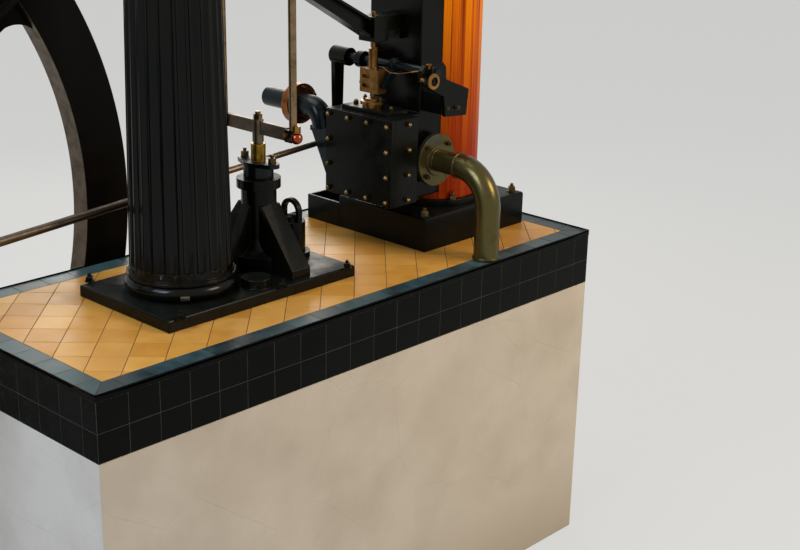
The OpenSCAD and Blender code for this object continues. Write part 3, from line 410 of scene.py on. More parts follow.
@dataclass(frozen=True)
class Mortar(Finish):
    """Lime or cement mortar: matt and sandy, with dirt in it."""

    clean: str = "#7d7a70"
    dirty: str = "#4b483f"
    grit: float = 700.0

    def surface(self, add: NodeAdder, at: Socket) -> bpy.types.Node:
        """Sandy mortar between two tones.

        Args:
            add: Adds a node to the material.
            at: The object coordinates, in metres.

        Returns:
            The shader node that goes to the output.
        """
        # Dirt lies in clouds of about 170 mm, over grains of sand of about 1.5 mm
        dirt = add("TexNoise", {"Vector": at, "Scale": 6.0, "Detail": 6.0})
        colour = add("ValToRGB", {0: dirt}, ramp=((0.35, self.dirty), (0.65, self.clean)))
        sand = add("TexNoise", {"Vector": at, "Scale": self.grit, "Detail": 2.0})
        bump = add("Bump", {"Height": sand, "Strength": 0.4, "Distance": 0.6 * MM})
        return add("BsdfPrincipled", {"Base Color": colour, "Roughness": 0.9, "Normal": bump})


@dataclass(frozen=True)
class LimePlaster(Finish):
    """Old limewashed plaster: matt, off-white, with trowel swells, hairlines and damp near the ground."""

    wash: str = "#cdc7ba"
    stain: str = "#bfb8aa"
    damp: str = "#a79e8e"
    damp_height: float = 0.4

    def surface(self, add: NodeAdder, at: Socket) -> bpy.types.Node:
        """Limewash with stains, swells and hairlines.

        Args:
            add: Adds a node to the material.
            at: The object coordinates, in metres.

        Returns:
            The shader node that goes to the output.
        """
        # Coats of wash overlap in clouds of about 450 mm
        clouds = add("TexNoise", {"Vector": at, "Scale": 2.2, "Detail": 8.0, "Roughness": 0.6})
        colour = add("ValToRGB", {0: clouds}, ramp=((0.34, self.stain), (0.62, self.wash)))
        height = add("SeparateXYZ", {0: at})
        rise = add("Math", {0: clouds, 1: -0.7, 2: height.outputs["Z"]}, operation="MULTIPLY_ADD")
        wet = add("MapRange", {0: rise, 1: self.damp_height - 0.35, 2: -0.45, 3: 0.0, 4: 0.6})
        damped = add("Mix", {"Factor": wet, COLOUR_A: colour, COLOUR_B: srgb(self.damp)}, data_type="RGBA")
        # The trowel leaves swells of about 140 mm in sand of about 3 mm
        trowel = add("TexNoise", {"Vector": at, "Scale": 7.0, "Detail": 3.0})
        sand = add("TexNoise", {"Vector": at, "Scale": 300.0, "Detail": 3.0})
        # Hairlines follow the edges of plates about 0.5 m across
        crack = add("TexVoronoi", {"Vector": at, "Scale": 2.1}, feature="DISTANCE_TO_EDGE")
        line = add("MapRange", {0: crack.outputs["Distance"], 1: 0.0, 2: 0.004, 3: -0.8, 4: 0.0})
        swell = add("Math", {0: sand, 1: 0.12, 2: trowel}, operation="MULTIPLY_ADD")
        relief = add("Math", {0: swell, 1: line}, operation="ADD")
        bump = add("Bump", {"Height": relief, "Strength": 0.5, "Distance": 3.0 * MM})
        return add("BsdfPrincipled", {"Base Color": damped, "Roughness": 0.88, "Normal": bump})


@dataclass(frozen=True)
class StageFloor(Finish):
    """A plain pale floor for the stage, evened out for the rays that see it as a backdrop."""

    colour: str = "#dcdcda"
    even: float = 0.8

    def surface(self, add: NodeAdder, at: Socket) -> bpy.types.Node:
        """A matt pale surface that keeps its shadows under a plain pale backdrop.

        Args:
            add: Adds a node to the material.
            at: The object coordinates, in metres; not used.

        Returns:
            The shader node that goes to the output.
        """
        matt = add("BsdfDiffuse", {"Color": srgb(self.colour)})
        plain = add("Emission", {"Color": srgb(self.colour), "Strength": 1.0})
        share = add("Math", {0: backdrop_rays(add), 1: self.even}, operation="MULTIPLY")
        return add("MixShader", {0: share, 1: matt, 2: plain})


# Coats on cast iron: almost black, with soft highlights on round and polished shapes, and paler edges that
# are partly scuffed and partly a painted highlight
CASTING = BrushedEnamel("black_enamel_on_cast_iron", "machine_iron")
SMOOTH_CASTING = BrushedEnamel(
    "smooth_black_enamel_on_cast_iron", "machine_iron", coat="#040605", shade="#090a05", roughness=0.15,
    skin=0.08, edge_scuff_and_highlight=0.75, shine=0.17,
)
TEAL_CASTING = BrushedEnamel(
    "dark_teal_enamel_on_cast_iron", "machine_iron", coat="#061215", shade="#0a191c", scuffed_and_highlit_edge="#4a3d2a",
    roughness=0.2, shine=0.2,
)
WHEEL_PAINT = BrushedEnamel(
    "satin_black_paint_on_cast_iron", "flywheel_iron", coat="#050605", shade="#0a0806", roughness=0.36,
    shine=0.1,
)
# Iron and steel: brownish greys, brighter where they are turned and oiled
TURNED_RIM = WorkedMetal(
    "ground_cast_iron", "flywheel_iron", bright="#5e5345", tarnish="#493c2f", roughness=0.44, cover=0.5
)
STEEL = WorkedMetal(
    "browned_turned_steel", "bright_steel", bright="#81756a", tarnish="#645543", roughness=0.36, cover=0.4,
    relief=0.1,
)
FORGED = WorkedMetal(
    "filed_wrought_iron", "bright_steel", bright="#695f53", tarnish="#51463a", roughness=0.42, cover=0.5,
    relief=0.12,
)
OILED_ROD = WorkedMetal(
    "oiled_wrought_iron", "bright_steel", bright="#8d7857", tarnish="#5e4a32", roughness=0.34, cover=0.5
)
# Brass, bronze and copper: golden where they are rubbed, brown where oil and heat have darkened them
BRASS = WorkedMetal(
    "tarnished_cast_brass", "brass", bright="#a67a3e", tarnish="#65461f", roughness=0.3, cover=0.55
)
DULL_BRASS = WorkedMetal(
    "greyed_cast_brass", "brass", bright="#9a875a", tarnish="#574a2f", roughness=0.34, cover=0.55
)
BUSH_BRASS = WorkedMetal(
    "turned_olive_brass", "brass", bright="#94752e", tarnish="#5c4618", roughness=0.4, cover=0.5,
)
COPPER = WorkedMetal(
    "polished_copper", "brass", bright="#93472a", tarnish="#5a2813", roughness=0.24, cover=0.4
)
DARK_BRASS = WorkedMetal(
    "oil_darkened_brass", "brass", bright="#6d5c3a", tarnish="#3a301d", roughness=0.36, cover=0.6
)
BROWNED_BRONZE = WorkedMetal(
    "heat_browned_bronze", "brass", bright="#94592a", tarnish="#55301a", roughness=0.38, cover=0.5
)
BRONZED = WorkedMetal(
    "bronze_painted_iron", "bronzed_pipe", bright="#58502c", tarnish="#3d371f", roughness=0.32, cover=0.3,
    metal=0.8, relief=0.06,
)
SLATE_FLANGE = WorkedMetal(
    "grey_green_flange_iron", "bronzed_pipe", bright="#4a493a", tarnish="#343328", roughness=0.4, metal=0.6,
    relief=0.1,
)
SPINDLE_BRASS = WorkedMetal(
    "brown_cast_brass", "brass", bright="#8a6436", tarnish="#523718", roughness=0.34, cover=0.5, relief=0.12
)
# Wood, tiles, mortar and plaster
STAVES = VarnishedStave("varnished_pitch_pine", "wood_lagging")
BLACK_TILE = FiredTile("black_glazed_tile", "black_tile")
SLATE_TILE = FiredTile(
    "slate_blue_floor_tile", "slate_tile", base="#18262a", other="#3a5658", roughness=0.3, mottle=14.0,
    wave=0.2, shine=0.3,
)
OCHRE_TILE = FiredTile(
    "ochre_floor_tile", "ochre_tile", base="#bd822c", other="#d6a14c", roughness=0.3, mottle=7.0, wave=0.2,
    shine=0.3,
)
PALE_JOINT = Mortar("grey_tile_joint", "black_tile", clean="#454843", dirty="#2c2f2b")
DARK_JOINT = Mortar("dark_tile_joint", "ochre_tile", clean="#5a4630", dirty="#35291b")
PLASTER = LimePlaster("limewashed_plaster", "plastered_masonry")
FLOOR = StageFloor("pale_stage_floor", "plastered_masonry")


class NutStyle(Enum):
    """The kinds of nut and head on the engine."""

    HEX = "hex"
    DOMED = "domed"
    SQUARE = "square"


def facing(point: Sequence[float], direction: Sequence[float]) -> Matrix:
    """Returns the matrix that stands a shape modelled up +Z on a point, along a direction."""
    return Matrix.Translation(point) @ Vector(direction).to_track_quat("Z", "Y").to_matrix().to_4x4()


def node_box(name: str) -> tuple[Vector, Vector]:
    """Returns a CAD node's lowest and highest corner as vectors."""
    low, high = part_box(name)
    return Vector(low), Vector(high)


def middle(name: str) -> Vector:
    """Returns the middle of a CAD node's box."""
    low, high = node_box(name)
    return (low + high) / 2


def by_place(point: Vector) -> tuple[float, ...]:
    """Returns a point's place to a tenth of a millimetre, by which pieces sort the same way in each run."""
    return tuple(round(c, 4) for c in point)


def rider(name: str) -> str:
    """Returns the CAD body that a CAD node rides on."""
    return frame["nodes"][name]["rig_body"]


def ring(
    centre: Sequence[float], radius: float, count: int, axis: str = "Z", start: float = 0.0
) -> list[Vector]:
    """Returns points evenly spaced round a circle.

    Args:
        centre: The circle's centre.
        radius: The circle's radius.
        count: How many points.
        axis: The axis that the circle is square to, Y or Z.
        start: Angle of the first point, in degrees.

    Returns:
        The points in order.
    """
    points = []
    for index in range(count):
        angle = math.radians(start + 360 * index / count)
        a, b = radius * math.cos(angle), radius * math.sin(angle)
        points.append(Vector(centre) + Vector((a, b, 0) if axis == "Z" else (a, 0, b)))
    return points


def both(half: float, centre: float = 0.0) -> tuple[float, float]:
    """Returns the two places at the same distance on either side of a centre."""
    return centre - half, centre + half


def spots(xs: Iterable[float], ys: Iterable[float], zs: Iterable[float]) -> list[Point]:
    """Returns a point for each x with each y and each z."""
    return list(itertools.product(xs, ys, zs))


def profile(*points: tuple[float, float]) -> Profile:
    """Turns the (radius, height) points of a turned shape from millimetres to metres."""
    return [(radius * MM, height * MM) for radius, height in points]


def oil_cup(stem: float, bowl: float, lid: float, *levels: float) -> Profile:
    """Returns the profile of a turned oil cup, from sizes in millimetres.

    Args:
        stem: Radius of its stem.
        bowl: Radius of its bowl.
        lid: Radius of its lid's rim.
        *levels: Heights of the stem's top, the bowl's foot and top, and the lid's rim and top.

    Returns:
        The (radius, height) points from the foot up, in metres.
    """
    return profile(*zip((0, stem, stem, bowl, bowl, lid, 0), (0, 0, *levels)))


class Workpiece:
    """A mesh under construction, in the model's frame. New faces take the finish number in use."""

    def __init__(self, name: str) -> None:
        """Starts an empty piece.

        Args:
            name: The name that the piece gets in the scene.
        """
        self.name = name
        self.bm = bmesh.new()
        self.finish_no = 0
        self.tone = self.bm.faces.layers.float.new("tone")

    def seat(self, verts: Iterable[bmesh.types.BMVert], place: Matrix) -> list[bmesh.types.BMFace]:
        """Moves new vertices into place and gives their faces the finish in use.

        Args:
            verts: The new vertices.
            place: Where they go.

        Returns:
            Their faces.
        """
        verts = list(verts)
        bmesh.ops.transform(self.bm, matrix=place, verts=verts)
        faces = list(dict.fromkeys(f for v in verts for f in v.link_faces))
        for face in faces:
            face.material_index = self.finish_no
        return faces

    def prism(self, place: Matrix, radius: float, length: float, sides: int = 32, top: float = 1.0) -> None:
        """Adds a cylinder, prism or cone that stands on the place given.

        Args:
            place: Where its foot is and which way it points.
            radius: Radius at its foot.
            length: Its length.
            sides: Number of sides.
            top: Share of the radius that is left at its top.
        """
        made = bmesh.ops.create_cone(
            self.bm, cap_ends=True, segments=sides, radius1=radius, radius2=radius * top, depth=length
        )
        self.seat(made["verts"], place @ Matrix.Translation((0, 0, length / 2)))

    def block(self, low: Sequence[float], high: Sequence[float], edge: float) -> None:
        """Adds a block with rounded edges.

        Args:
            low: Its lowest corner.
            high: Its highest corner.
            edge: Radius of its edges.
        """
        size = Vector(high) - Vector(low)
        made = bmesh.ops.create_cube(self.bm, size=1.0)
        bmesh.ops.scale(self.bm, vec=size, verts=made["verts"])
        edges = list(dict.fromkeys(e for v in made["verts"] for e in v.link_edges))
        cut = bmesh.ops.bevel(
            self.bm, geom=edges, offset=edge, segments=2, profile=0.5, affect="EDGES", material=-1
        )
        verts = list(dict.fromkeys(v for f in cut["faces"] for v in f.verts))
        self.seat(verts, Matrix.Translation((Vector(low) + Vector(high)) / 2))

    def ball(self, centre: Sequence[float], radius: float) -> None:
        """Adds a ball."""
        made = bmesh.ops.create_uvsphere(self.bm, u_segments=28, v_segments=16, radius=radius)
        self.seat(made["verts"], Matrix.Translation(centre))

    def turned(self, outline: Profile, place: Matrix, sides: int) -> None:
        """Adds a turned shape.

        Args:
            outline: The (radius, height) points that are spun round the shape's own +Z.
            place: Where its foot is and which way it points.
            sides: Number of sides.
        """
        before = set(self.bm.verts)
        verts = [self.bm.verts.new((radius, 0, height)) for radius, height in outline]
        line = [*verts, *(self.bm.edges.new(pair) for pair in zip(verts, verts[1:]))]
        bmesh.ops.spin(
            self.bm, geom=line, cent=(0, 0, 0), axis=UP, angle=math.tau, steps=sides, use_merge=True
        )
        spun = [v for v in self.bm.verts if v not in before]
        bmesh.ops.remove_doubles(self.bm, verts=spun, dist=0.01 * MM)
        spun = [v for v in self.bm.verts if v not in before]
        faces = self.seat(spun, place)
        bmesh.ops.recalc_face_normals(self.bm, faces=faces)

    def nut(
        self,
        point: Sequence[float],
        direction: Sequence[float],
        across: float,
        style: NutStyle = NutStyle.HEX,
        stud: float = 0.45,
    ) -> None:
        """Adds a nut on its washer, with the end of its stud.

        Args:
            point: Where the washer sits.
            direction: The way that the nut faces.
            across: Width across the flats.
            style: The kind of nut.
            stud: How far the stud stands out, as a share of the width.
        """
        place = facing(point, direction)
        sides = 4 if style is NutStyle.SQUARE else 6
        corner = across / 2 / math.cos(math.pi / sides)
        # Heights and radii are a nut's usual shares of its width
        washer, height = 0.12 * across, 0.72 * across
        self.prism(place, 0.62 * across if sides == 6 else 0.75 * across, washer, 20)
        up = place @ Matrix.Translation((0, 0, washer))
        if style is NutStyle.DOMED:
            height = 0.45 * across
            self.prism(up, corner, height, 6)
            self.finish_no = 1
            dome = bmesh.ops.create_uvsphere(self.bm, u_segments=16, v_segments=10, radius=0.46 * across)
            self.seat(dome["verts"], up @ Matrix.Translation((0, 0, height - 0.06 * across)))
            self.finish_no = 0
            return
        self.prism(up, corner, 0.82 * height, sides)
        self.prism(up @ Matrix.Translation((0, 0, 0.82 * height)), corner, 0.18 * height, sides, top=0.86)
        self.prism(up @ Matrix.Translation((0, 0, height)), 0.27 * across, stud * across, 12, top=0.9)

    def nuts(
        self,
        points: Iterable[Sequence[float]],
        direction: Sequence[float],
        across: float,
        **form: NutStyle | float,
    ) -> None:
        """Adds the same nut at each of the points, with the form that nut() takes."""
        for point in points:
            self.nut(point, direction, across, **form)

    def finish(
        self,
        body: str,
        finishes: Sequence[Finish],
        replaces: Sequence[str] = (),
        sharp: float = 32.0,
        edge: float = 0.0,
    ) -> bpy.types.Object:
        """Turns the mesh into a piece of the engine.

        Args:
            body: The CAD body that it rides on.
            finishes: Its finishes, in the order of their numbers.
            replaces: CAD nodes that it stands for.
            sharp: Edges sharper than this many degrees stay sharp in the shading.
            edge: Width of a bevel on its sharp edges.

        Returns:
            The finished object.
        """
        mesh = bpy.data.meshes.new(self.name)
        self.bm.to_mesh(mesh)
        self.bm.free()
        made = bpy.data.objects.new(self.name, mesh)
        bpy.context.scene.collection.objects.link(made)
        for finish in finishes:
            mesh.materials.append(finish.material())
        mesh.shade_smooth()
        mesh.set_sharp_from_angle(angle=math.radians(sharp))
        if edge:
            bevel = made.modifiers.new("rounded_edges", "BEVEL")
            bevel.width, bevel.segments, bevel.limit_method = edge, 2, "ANGLE"
            bevel.angle_limit, bevel.harden_normals = math.radians(sharp), True
        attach(made, body)
        if replaces:
            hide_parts(*replaces)
        LOG.info("%s: %d faces on %s", self.name, len(mesh.polygons), body)
        return made


@dataclass
class Recast:
    """A CAD node's own shape with clean faces, rounded edges and its finishes."""

    node: str
    finishes: tuple[Finish, ...] = (CASTING,)
    edge: float = 3.0 * MM
    choose: Callable[[Vector, Vector], int] | None = None

    def build(self) -> bpy.types.Object:
        """Copies the node's mesh, merges it and finishes it in the node's place.

        Returns:
            The finished object.
        """
        source = frame["nodes"][self.node]
        piece = Workpiece(f"{self.node}_dressed")
        piece.bm.from_mesh(source.data)
        bmesh.ops.remove_doubles(piece.bm, verts=piece.bm.verts[:], dist=0.01 * MM)
        bmesh.ops.dissolve_limit(
            piece.bm, angle_limit=math.radians(0.4), verts=piece.bm.verts[:], edges=piece.bm.edges[:]
        )
        for face in piece.bm.faces:
            face.material_index = self.choose(face.calc_center_median(), face.normal) if self.choose else 0
        return piece.finish(source["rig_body"], self.finishes, (self.node,), edge=self.edge)


def recast(edges: dict[str, float], finishes: tuple[Finish, ...] = (CASTING,)) -> None:
    """Dresses CAD nodes that share their finishes, each with its edge radius in millimetres."""
    for node, edge in edges.items():
        Recast(node, finishes, edge * MM).build()


class TileSheet:
    """One flat sheet of tiles: a rectangle cut along its joints, each tile raised from its bed."""

    def __init__(self, piece: Workpiece, seed: int, joint: float, rise: float) -> None:
        """Gets ready to lay tiles into a piece, with their joint's width and their rise."""
        self.piece, self.joint, self.rise = piece, joint, rise
        self.chance = random.Random(seed)

    def lay(self, corners: Sequence[Sequence[float]], cuts: Sequence[tuple[Vector, Vector]]) -> None:
        """Lays one sheet.

        Args:
            corners: The sheet's corners in order, seen from outside against the clock.
            cuts: A point on each joint's plane with the plane's normal.
        """
        bm = self.piece.bm
        before = set(bm.faces)
        bm.faces.new([bm.verts.new(corner) for corner in corners])
        for point, normal in cuts:
            fresh = [f for f in bm.faces if f not in before]
            geometry = list(dict.fromkeys(g for f in fresh for g in (*f.verts, *f.edges, f)))
            bmesh.ops.bisect_plane(bm, geom=geometry, dist=1e-6, plane_co=point, plane_no=normal)
        tiles = [f for f in bm.faces if f not in before]
        tiles.sort(key=lambda f: by_place(f.calc_center_median()))
        beds = bmesh.ops.inset_individual(bm, faces=tiles, thickness=self.joint / 2, depth=0.0)["faces"]
        for bed in beds:
            bed.material_index = 1
        for tile in tiles:
            tile[self.piece.tone] = self.chance.random()
        arris = min(1.2 * MM, 0.6 * self.rise)
        rims = bmesh.ops.inset_individual(bm, faces=tiles, thickness=arris, depth=self.rise)["faces"]
        for rim in rims:
            rim.material_index = 0
        for tile in tiles:
            middle_point = tile.calc_center_median()
            corner = min((v.co for v in tile.verts), key=by_place)
            tilt = Matrix.Rotation(self.chance.gauss(0, 0.0018), 3, corner - middle_point)
            bmesh.ops.rotate(bm, cent=middle_point, matrix=tilt, verts=tile.verts[:])


@dataclass
class Plinth:
    """The tiled top and sides of the plinth, and the plastered masonry below."""

    tile: float = 150 * MM
    side_joint: float = 4.5 * MM
    floor_joint: float = 4.2 * MM
    rise: float = 1.2 * MM
    upper_row: float = 158 * MM
    border_length: float = 150 * MM
    floor_tile: float = 151 * MM
    first_joints: tuple[float, float] = (-862 * MM, 19 * MM)
    bed: float = 8 * MM

    def build(self) -> None:
        """Dresses the masonry and lays all the tiles."""
        recast({"foundation": 6, "inner_bearing_pier": 6, "outer_bearing_pier": 6}, (PLASTER,))
        self.sides()
        self.border()
        self.floor()

    def sides(self) -> None:
        """Two rows of black glazed tiles on the four sides."""
        low, high = node_box("side_tiling")
        top = node_box("border_tiling")[1].z
        inset = Vector((self.rise, self.rise, 0))
        low, high = low + inset, high - inset
        piece = Workpiece("side_tiles")
        corners = [Vector((x, y, 0)) for x, y in self.corners(low, high)]
        seam = (Vector((0, 0, top - self.upper_row)), Vector(UP))
        for index, start in enumerate(corners):
            end = corners[(index + 1) % 4]
            run = (end - start).normalized()
            count = int((end - start).length / self.tile)
            cuts = [(start + run * self.tile * (i + 1), run) for i in range(count)] + [seam]
            face = [(*start.xy, low.z), (*end.xy, low.z), (*end.xy, high.z), (*start.xy, high.z)]
            TileSheet(piece, 11 + index, self.side_joint, self.rise).lay(face, cuts)
        self.close(piece)
        piece.finish("root", (BLACK_TILE, PALE_JOINT), ("side_tiling",), sharp=20)

    def border(self) -> None:
        """One row of slate tiles round the top, mitred at the corners."""
        low, high = node_box("border_tiling")
        inner_low, inner_high = node_box("floor_tiling")
        piece = Workpiece("border_tiles")
        outer = [Vector((x, y, high.z - self.rise)) for x, y in self.corners(low, high)]
        inner = [Vector((x, y, high.z - self.rise)) for x, y in self.corners(inner_low, inner_high)]
        drop = Vector((0, 0, high.z - low.z - self.rise))
        for index in range(4):
            after = (index + 1) % 4
            run = (outer[after] - outer[index]).normalized()
            length = (outer[after] - outer[index]).length
            count = round(length / self.border_length)
            cuts = [(outer[index] + run * length * i / count, run) for i in range(1, count)]
            sheet = TileSheet(piece, 31 + index, self.floor_joint, self.rise)
            sheet.lay([outer[index], outer[after], inner[after], inner[index]], cuts)
            edge = (outer[index] - drop, outer[after] - drop, outer[after], outer[index])
            face = piece.bm.faces.new([piece.bm.verts.new(p) for p in edge])
            face[piece.tone] = 0.2
            face.material_index = 2
        self.close(piece)
        piece.finish("root", (SLATE_TILE, DARK_JOINT, BLACK_TILE), ("border_tiling",), sharp=20)

    def floor(self) -> None:
        """Square ochre tiles laid corner to corner with the plinth."""
        low, high = node_box("floor_tiling")
        piece = Workpiece("floor_tiles")
        z = high.z - self.rise
        corners = [(x, y, z) for x, y in self.corners(low, high)]
        cuts = []
        for direction, first in zip((Vector((1, 1, 0)), Vector((1, -1, 0))), self.first_joints):
            across = direction.normalized()
            for step in range(-24, 25):
                cuts.append((across * (first + self.floor_tile * step) + Vector((0, 0, z)), across))
        TileSheet(piece, 7, self.floor_joint, self.rise).lay(corners, cuts)
        self.close(piece)
        piece.finish("root", (OCHRE_TILE, DARK_JOINT), ("floor_tiling",), sharp=20)

    @staticmethod
    def corners(low: Vector, high: Vector) -> list[tuple[float, float]]:
        """Returns the four corners of a box seen from above, against the clock."""
        return [(low.x, low.y), (high.x, low.y), (high.x, high.y), (low.x, high.y)]

    def close(self, piece: Workpiece) -> None:
        """Joins the sheets and gives them a back, so that they are closed solids."""
        bmesh.ops.remove_doubles(piece.bm, verts=piece.bm.verts[:], dist=0.05 * MM)
        bmesh.ops.solidify(piece.bm, geom=piece.bm.faces[:], thickness=self.bed)


@dataclass
class Column:
    """The fluted column with its plate, capital and pedestal."""

    plate_nut: float = 30 * MM
    plate_inset: float = 60 * MM
    plate_middle: float = 311 * MM
    plate_half: float = 330 * MM
    foot_nut: float = 34 * MM
    foot_rise: float = 60 * MM
    foot_x: float = 215 * MM
    foot_ys: tuple[float, float] = (100 * MM, 232 * MM)
    cap_nut: float = 22 * MM
    cap_rise: float = 40 * MM
    cap_x: float = 108 * MM
    cap_y: float = 180 * MM
    cleat: Point = (40 * MM, 14 * MM, 22 * MM)
    cleat_rise: float = 30 * MM
    cleat_angle: float = -125.0

    def build(self) -> None:
        """Dresses the castings and adds their fastenings."""
        recast({"bed_plate": 4, "beam_pedestal": 5, "beam_bearing_caps": 4, "column_brace": 3})
        recast({"column_base": 2, "column_shaft": 0, "column_capital": 4}, (SMOOTH_CASTING,))
        self.fastenings()
        self.oil_cups()
        self.bright_cleat()

    def fastenings(self) -> None:
        """Nuts of the bed plate, of the pedestal's foot and of the bearing caps."""
        piece = Workpiece("column_fastenings")
        low, high = node_box("bed_plate")
        plate_xs = (low.x + self.plate_inset, self.plate_middle, high.x - self.plate_inset)
        plate_top = node_box("column_base")[0].z
        plate = spots(plate_xs, both(self.plate_half), (plate_top,))
        piece.nuts(plate, UP, self.plate_nut, style=NutStyle.SQUARE)
        foot_z = node_box("beam_pedestal")[0].z + self.foot_rise
        foot_ys = [y for half in self.foot_ys for y in both(half)]
        piece.nuts(spots(both(self.foot_x), foot_ys, (foot_z,)), UP, self.foot_nut)
        cap_z = node_box("beam_bearing_caps")[0].z + self.cap_rise
        piece.nuts(spots(both(self.cap_x), both(self.cap_y), (cap_z,)), UP, self.cap_nut)
        piece.finish("root", (CASTING,))

    def oil_cups(self) -> None:
        """Brass lids of the oil cups on the beam's bearing caps."""
        piece = Workpiece("beam_oil_cup_lids")
        top = node_box("beam_bearing_caps")[1].z - 1 * MM
        lid = profile((0, 0), (26, 0), (26, 4), (16, 12), (6, 14), (6, 22), (0, 24))
        for y in both(self.cap_y):
            piece.turned(lid, facing((0, y, top), UP), 24)
        piece.finish("root", (BRASS,))

    def bright_cleat(self) -> None:
        """The bright cleat on the rim of the column's base."""
        piece = Workpiece("column_cleat")
        low, high = node_box("column_base")
        radius = (high.x - low.x) / 2 + 1 * MM
        angle = math.radians(self.cleat_angle)
        out = Vector((math.cos(angle), math.sin(angle), 0))
        across = Vector((-out.y, out.x, 0))
        centre = out * radius + Vector((0, 0, low.z + self.cleat_rise))
        half = Vector(self.cleat) / 2
        piece.block(-half, half, 2 * MM)
        turn = Matrix((across, -out, UP)).transposed().to_4x4()
        bmesh.ops.transform(piece.bm, matrix=Matrix.Translation(centre) @ turn, verts=piece.bm.verts[:])
        piece.finish("root", (STEEL,))


@dataclass
class Cylinder:
    """The lagged cylinder with its base, cover, guides and steam passage."""

    staves: int = 36
    groove: float = 1.6 * MM
    stave_depth: float = 8 * MM
    foot_studs: int = 8
    foot_circle: float = 246 * MM
    foot_flange: float = 33 * MM
    cover_studs: int = 12
    cover_circle: float = 262 * MM
    cover_flange: float = 30 * MM
    gland_rise: float = 118 * MM
    gland_y: float = 81 * MM
    corner_inset: float = 45 * MM
    guide_bolt: Point = (92 * MM, 219 * MM, 64 * MM)
    oiler_y: float = 120 * MM
    oiler_rise: float = 95 * MM

    def build(self) -> None:
        """Dresses the castings, sets the staves and adds the fastenings."""
        recast({"cylinder_base": 4, "cylinder_body": 3, "cylinder_cover": 3, "steam_passage": 5})
        recast({"crosshead_guides": 4, "drain_box": 2})
        recast({"piston_rod": 0}, (STEEL,))
        recast({"crosshead": 3, "main_links": 3}, (FORGED,))
        self.crosshead_oilers()
        self.lagging()
        self.fastenings()

    def lagging(self) -> None:
        """Upright staves with a groove between each two, left out where the passage stands."""
        low, high = node_box("cylinder_lagging")
        passage_low, passage_high = node_box("steam_passage")
        centre = middle("cylinder_cover")
        radius = (high.x - centre.x) - self.groove * 0.7
        piece = Workpiece("lagging_staves")
        bm = piece.bm
        made = bmesh.ops.create_cone(
            bm, cap_ends=False, segments=self.staves, radius1=radius, radius2=radius, depth=high.z - low.z
        )
        piece.seat(made["verts"], Matrix.Translation((centre.x, centre.y, (low.z + high.z) / 2)))
        for level in (passage_low.z, passage_high.z):
            geometry = bm.verts[:] + bm.edges[:] + bm.faces[:]
            bmesh.ops.bisect_plane(bm, geom=geometry, plane_co=(0, 0, level), plane_no=UP)
        hidden = []
        for face in bm.faces:
            at = face.calc_center_median()
            if at.x < centre.x and abs(at.y) < passage_high.y and passage_low.z < at.z < passage_high.z:
                hidden.append(face)
        bmesh.ops.delete(bm, geom=hidden, context="FACES")
        chance = random.Random(5)
        tones = [chance.random() for _ in range(self.staves)]
        for face in bm.faces:
            at = face.calc_center_median() - centre
            face[piece.tone] = tones[int(math.atan2(at.y, at.x) / math.tau * self.staves) % self.staves]
        bmesh.ops.inset_individual(bm, faces=bm.faces[:], thickness=self.groove, depth=self.groove)
        bmesh.ops.solidify(bm, geom=bm.faces[:], thickness=self.stave_depth)
        piece.finish("root", (STAVES,), ("cylinder_lagging",), sharp=25)

    def fastenings(self) -> None:
        """Studs of the foot flange on square washers, cover nuts, gland nuts and guide bolts."""
        piece = Workpiece("cylinder_fastenings")
        x = middle("cylinder_cover").x
        cover = node_box("cylinder_cover")[0].z
        low, high = node_box("cylinder_base")
        foot = ring((x, 0, high.z + self.foot_flange), self.foot_circle, self.foot_studs, start=22.5)
        piece.nuts(foot, UP, 26 * MM, style=NutStyle.SQUARE, stud=0.9)
        for side, stud in ((1, 0.45), (-1, 0.2)):
            centre = (x, 0, cover + side * self.cover_flange)
            circle = ring(centre, self.cover_circle, self.cover_studs, start=15)
            piece.nuts(circle, (0, 0, side), 30 * MM, stud=stud)
        piece.nuts(spots((x,), both(self.gland_y), (cover + self.gland_rise,)), UP, 24 * MM, stud=0.9)
        inset = self.corner_inset
        corners = spots((low.x + inset, high.x - inset), (low.y + inset, high.y - inset), (high.z,))
        piece.nuts(corners, UP, 34 * MM, style=NutStyle.SQUARE)
        out, along, rise = self.guide_bolt
        piece.nuts(spots(both(out, x), both(along), (cover + rise,)), UP, 24 * MM)
        piece.finish("root", (DARK_BRASS,))

    def crosshead_oilers(self) -> None:
        """A small oil cup on each end of the crosshead."""
        piece = Workpiece("crosshead_oil_cups")
        arm_top = node_box("crosshead")[0].z + self.oiler_rise
        for y in both(self.oiler_y):
            foot = (middle("crosshead").x, y, arm_top)
            piece.turned(oil_cup(7, 16, 11, 12, 18, 36, 42, 44), facing(foot, UP), 20)
        piece.finish(rider("crosshead"), (BRASS,))


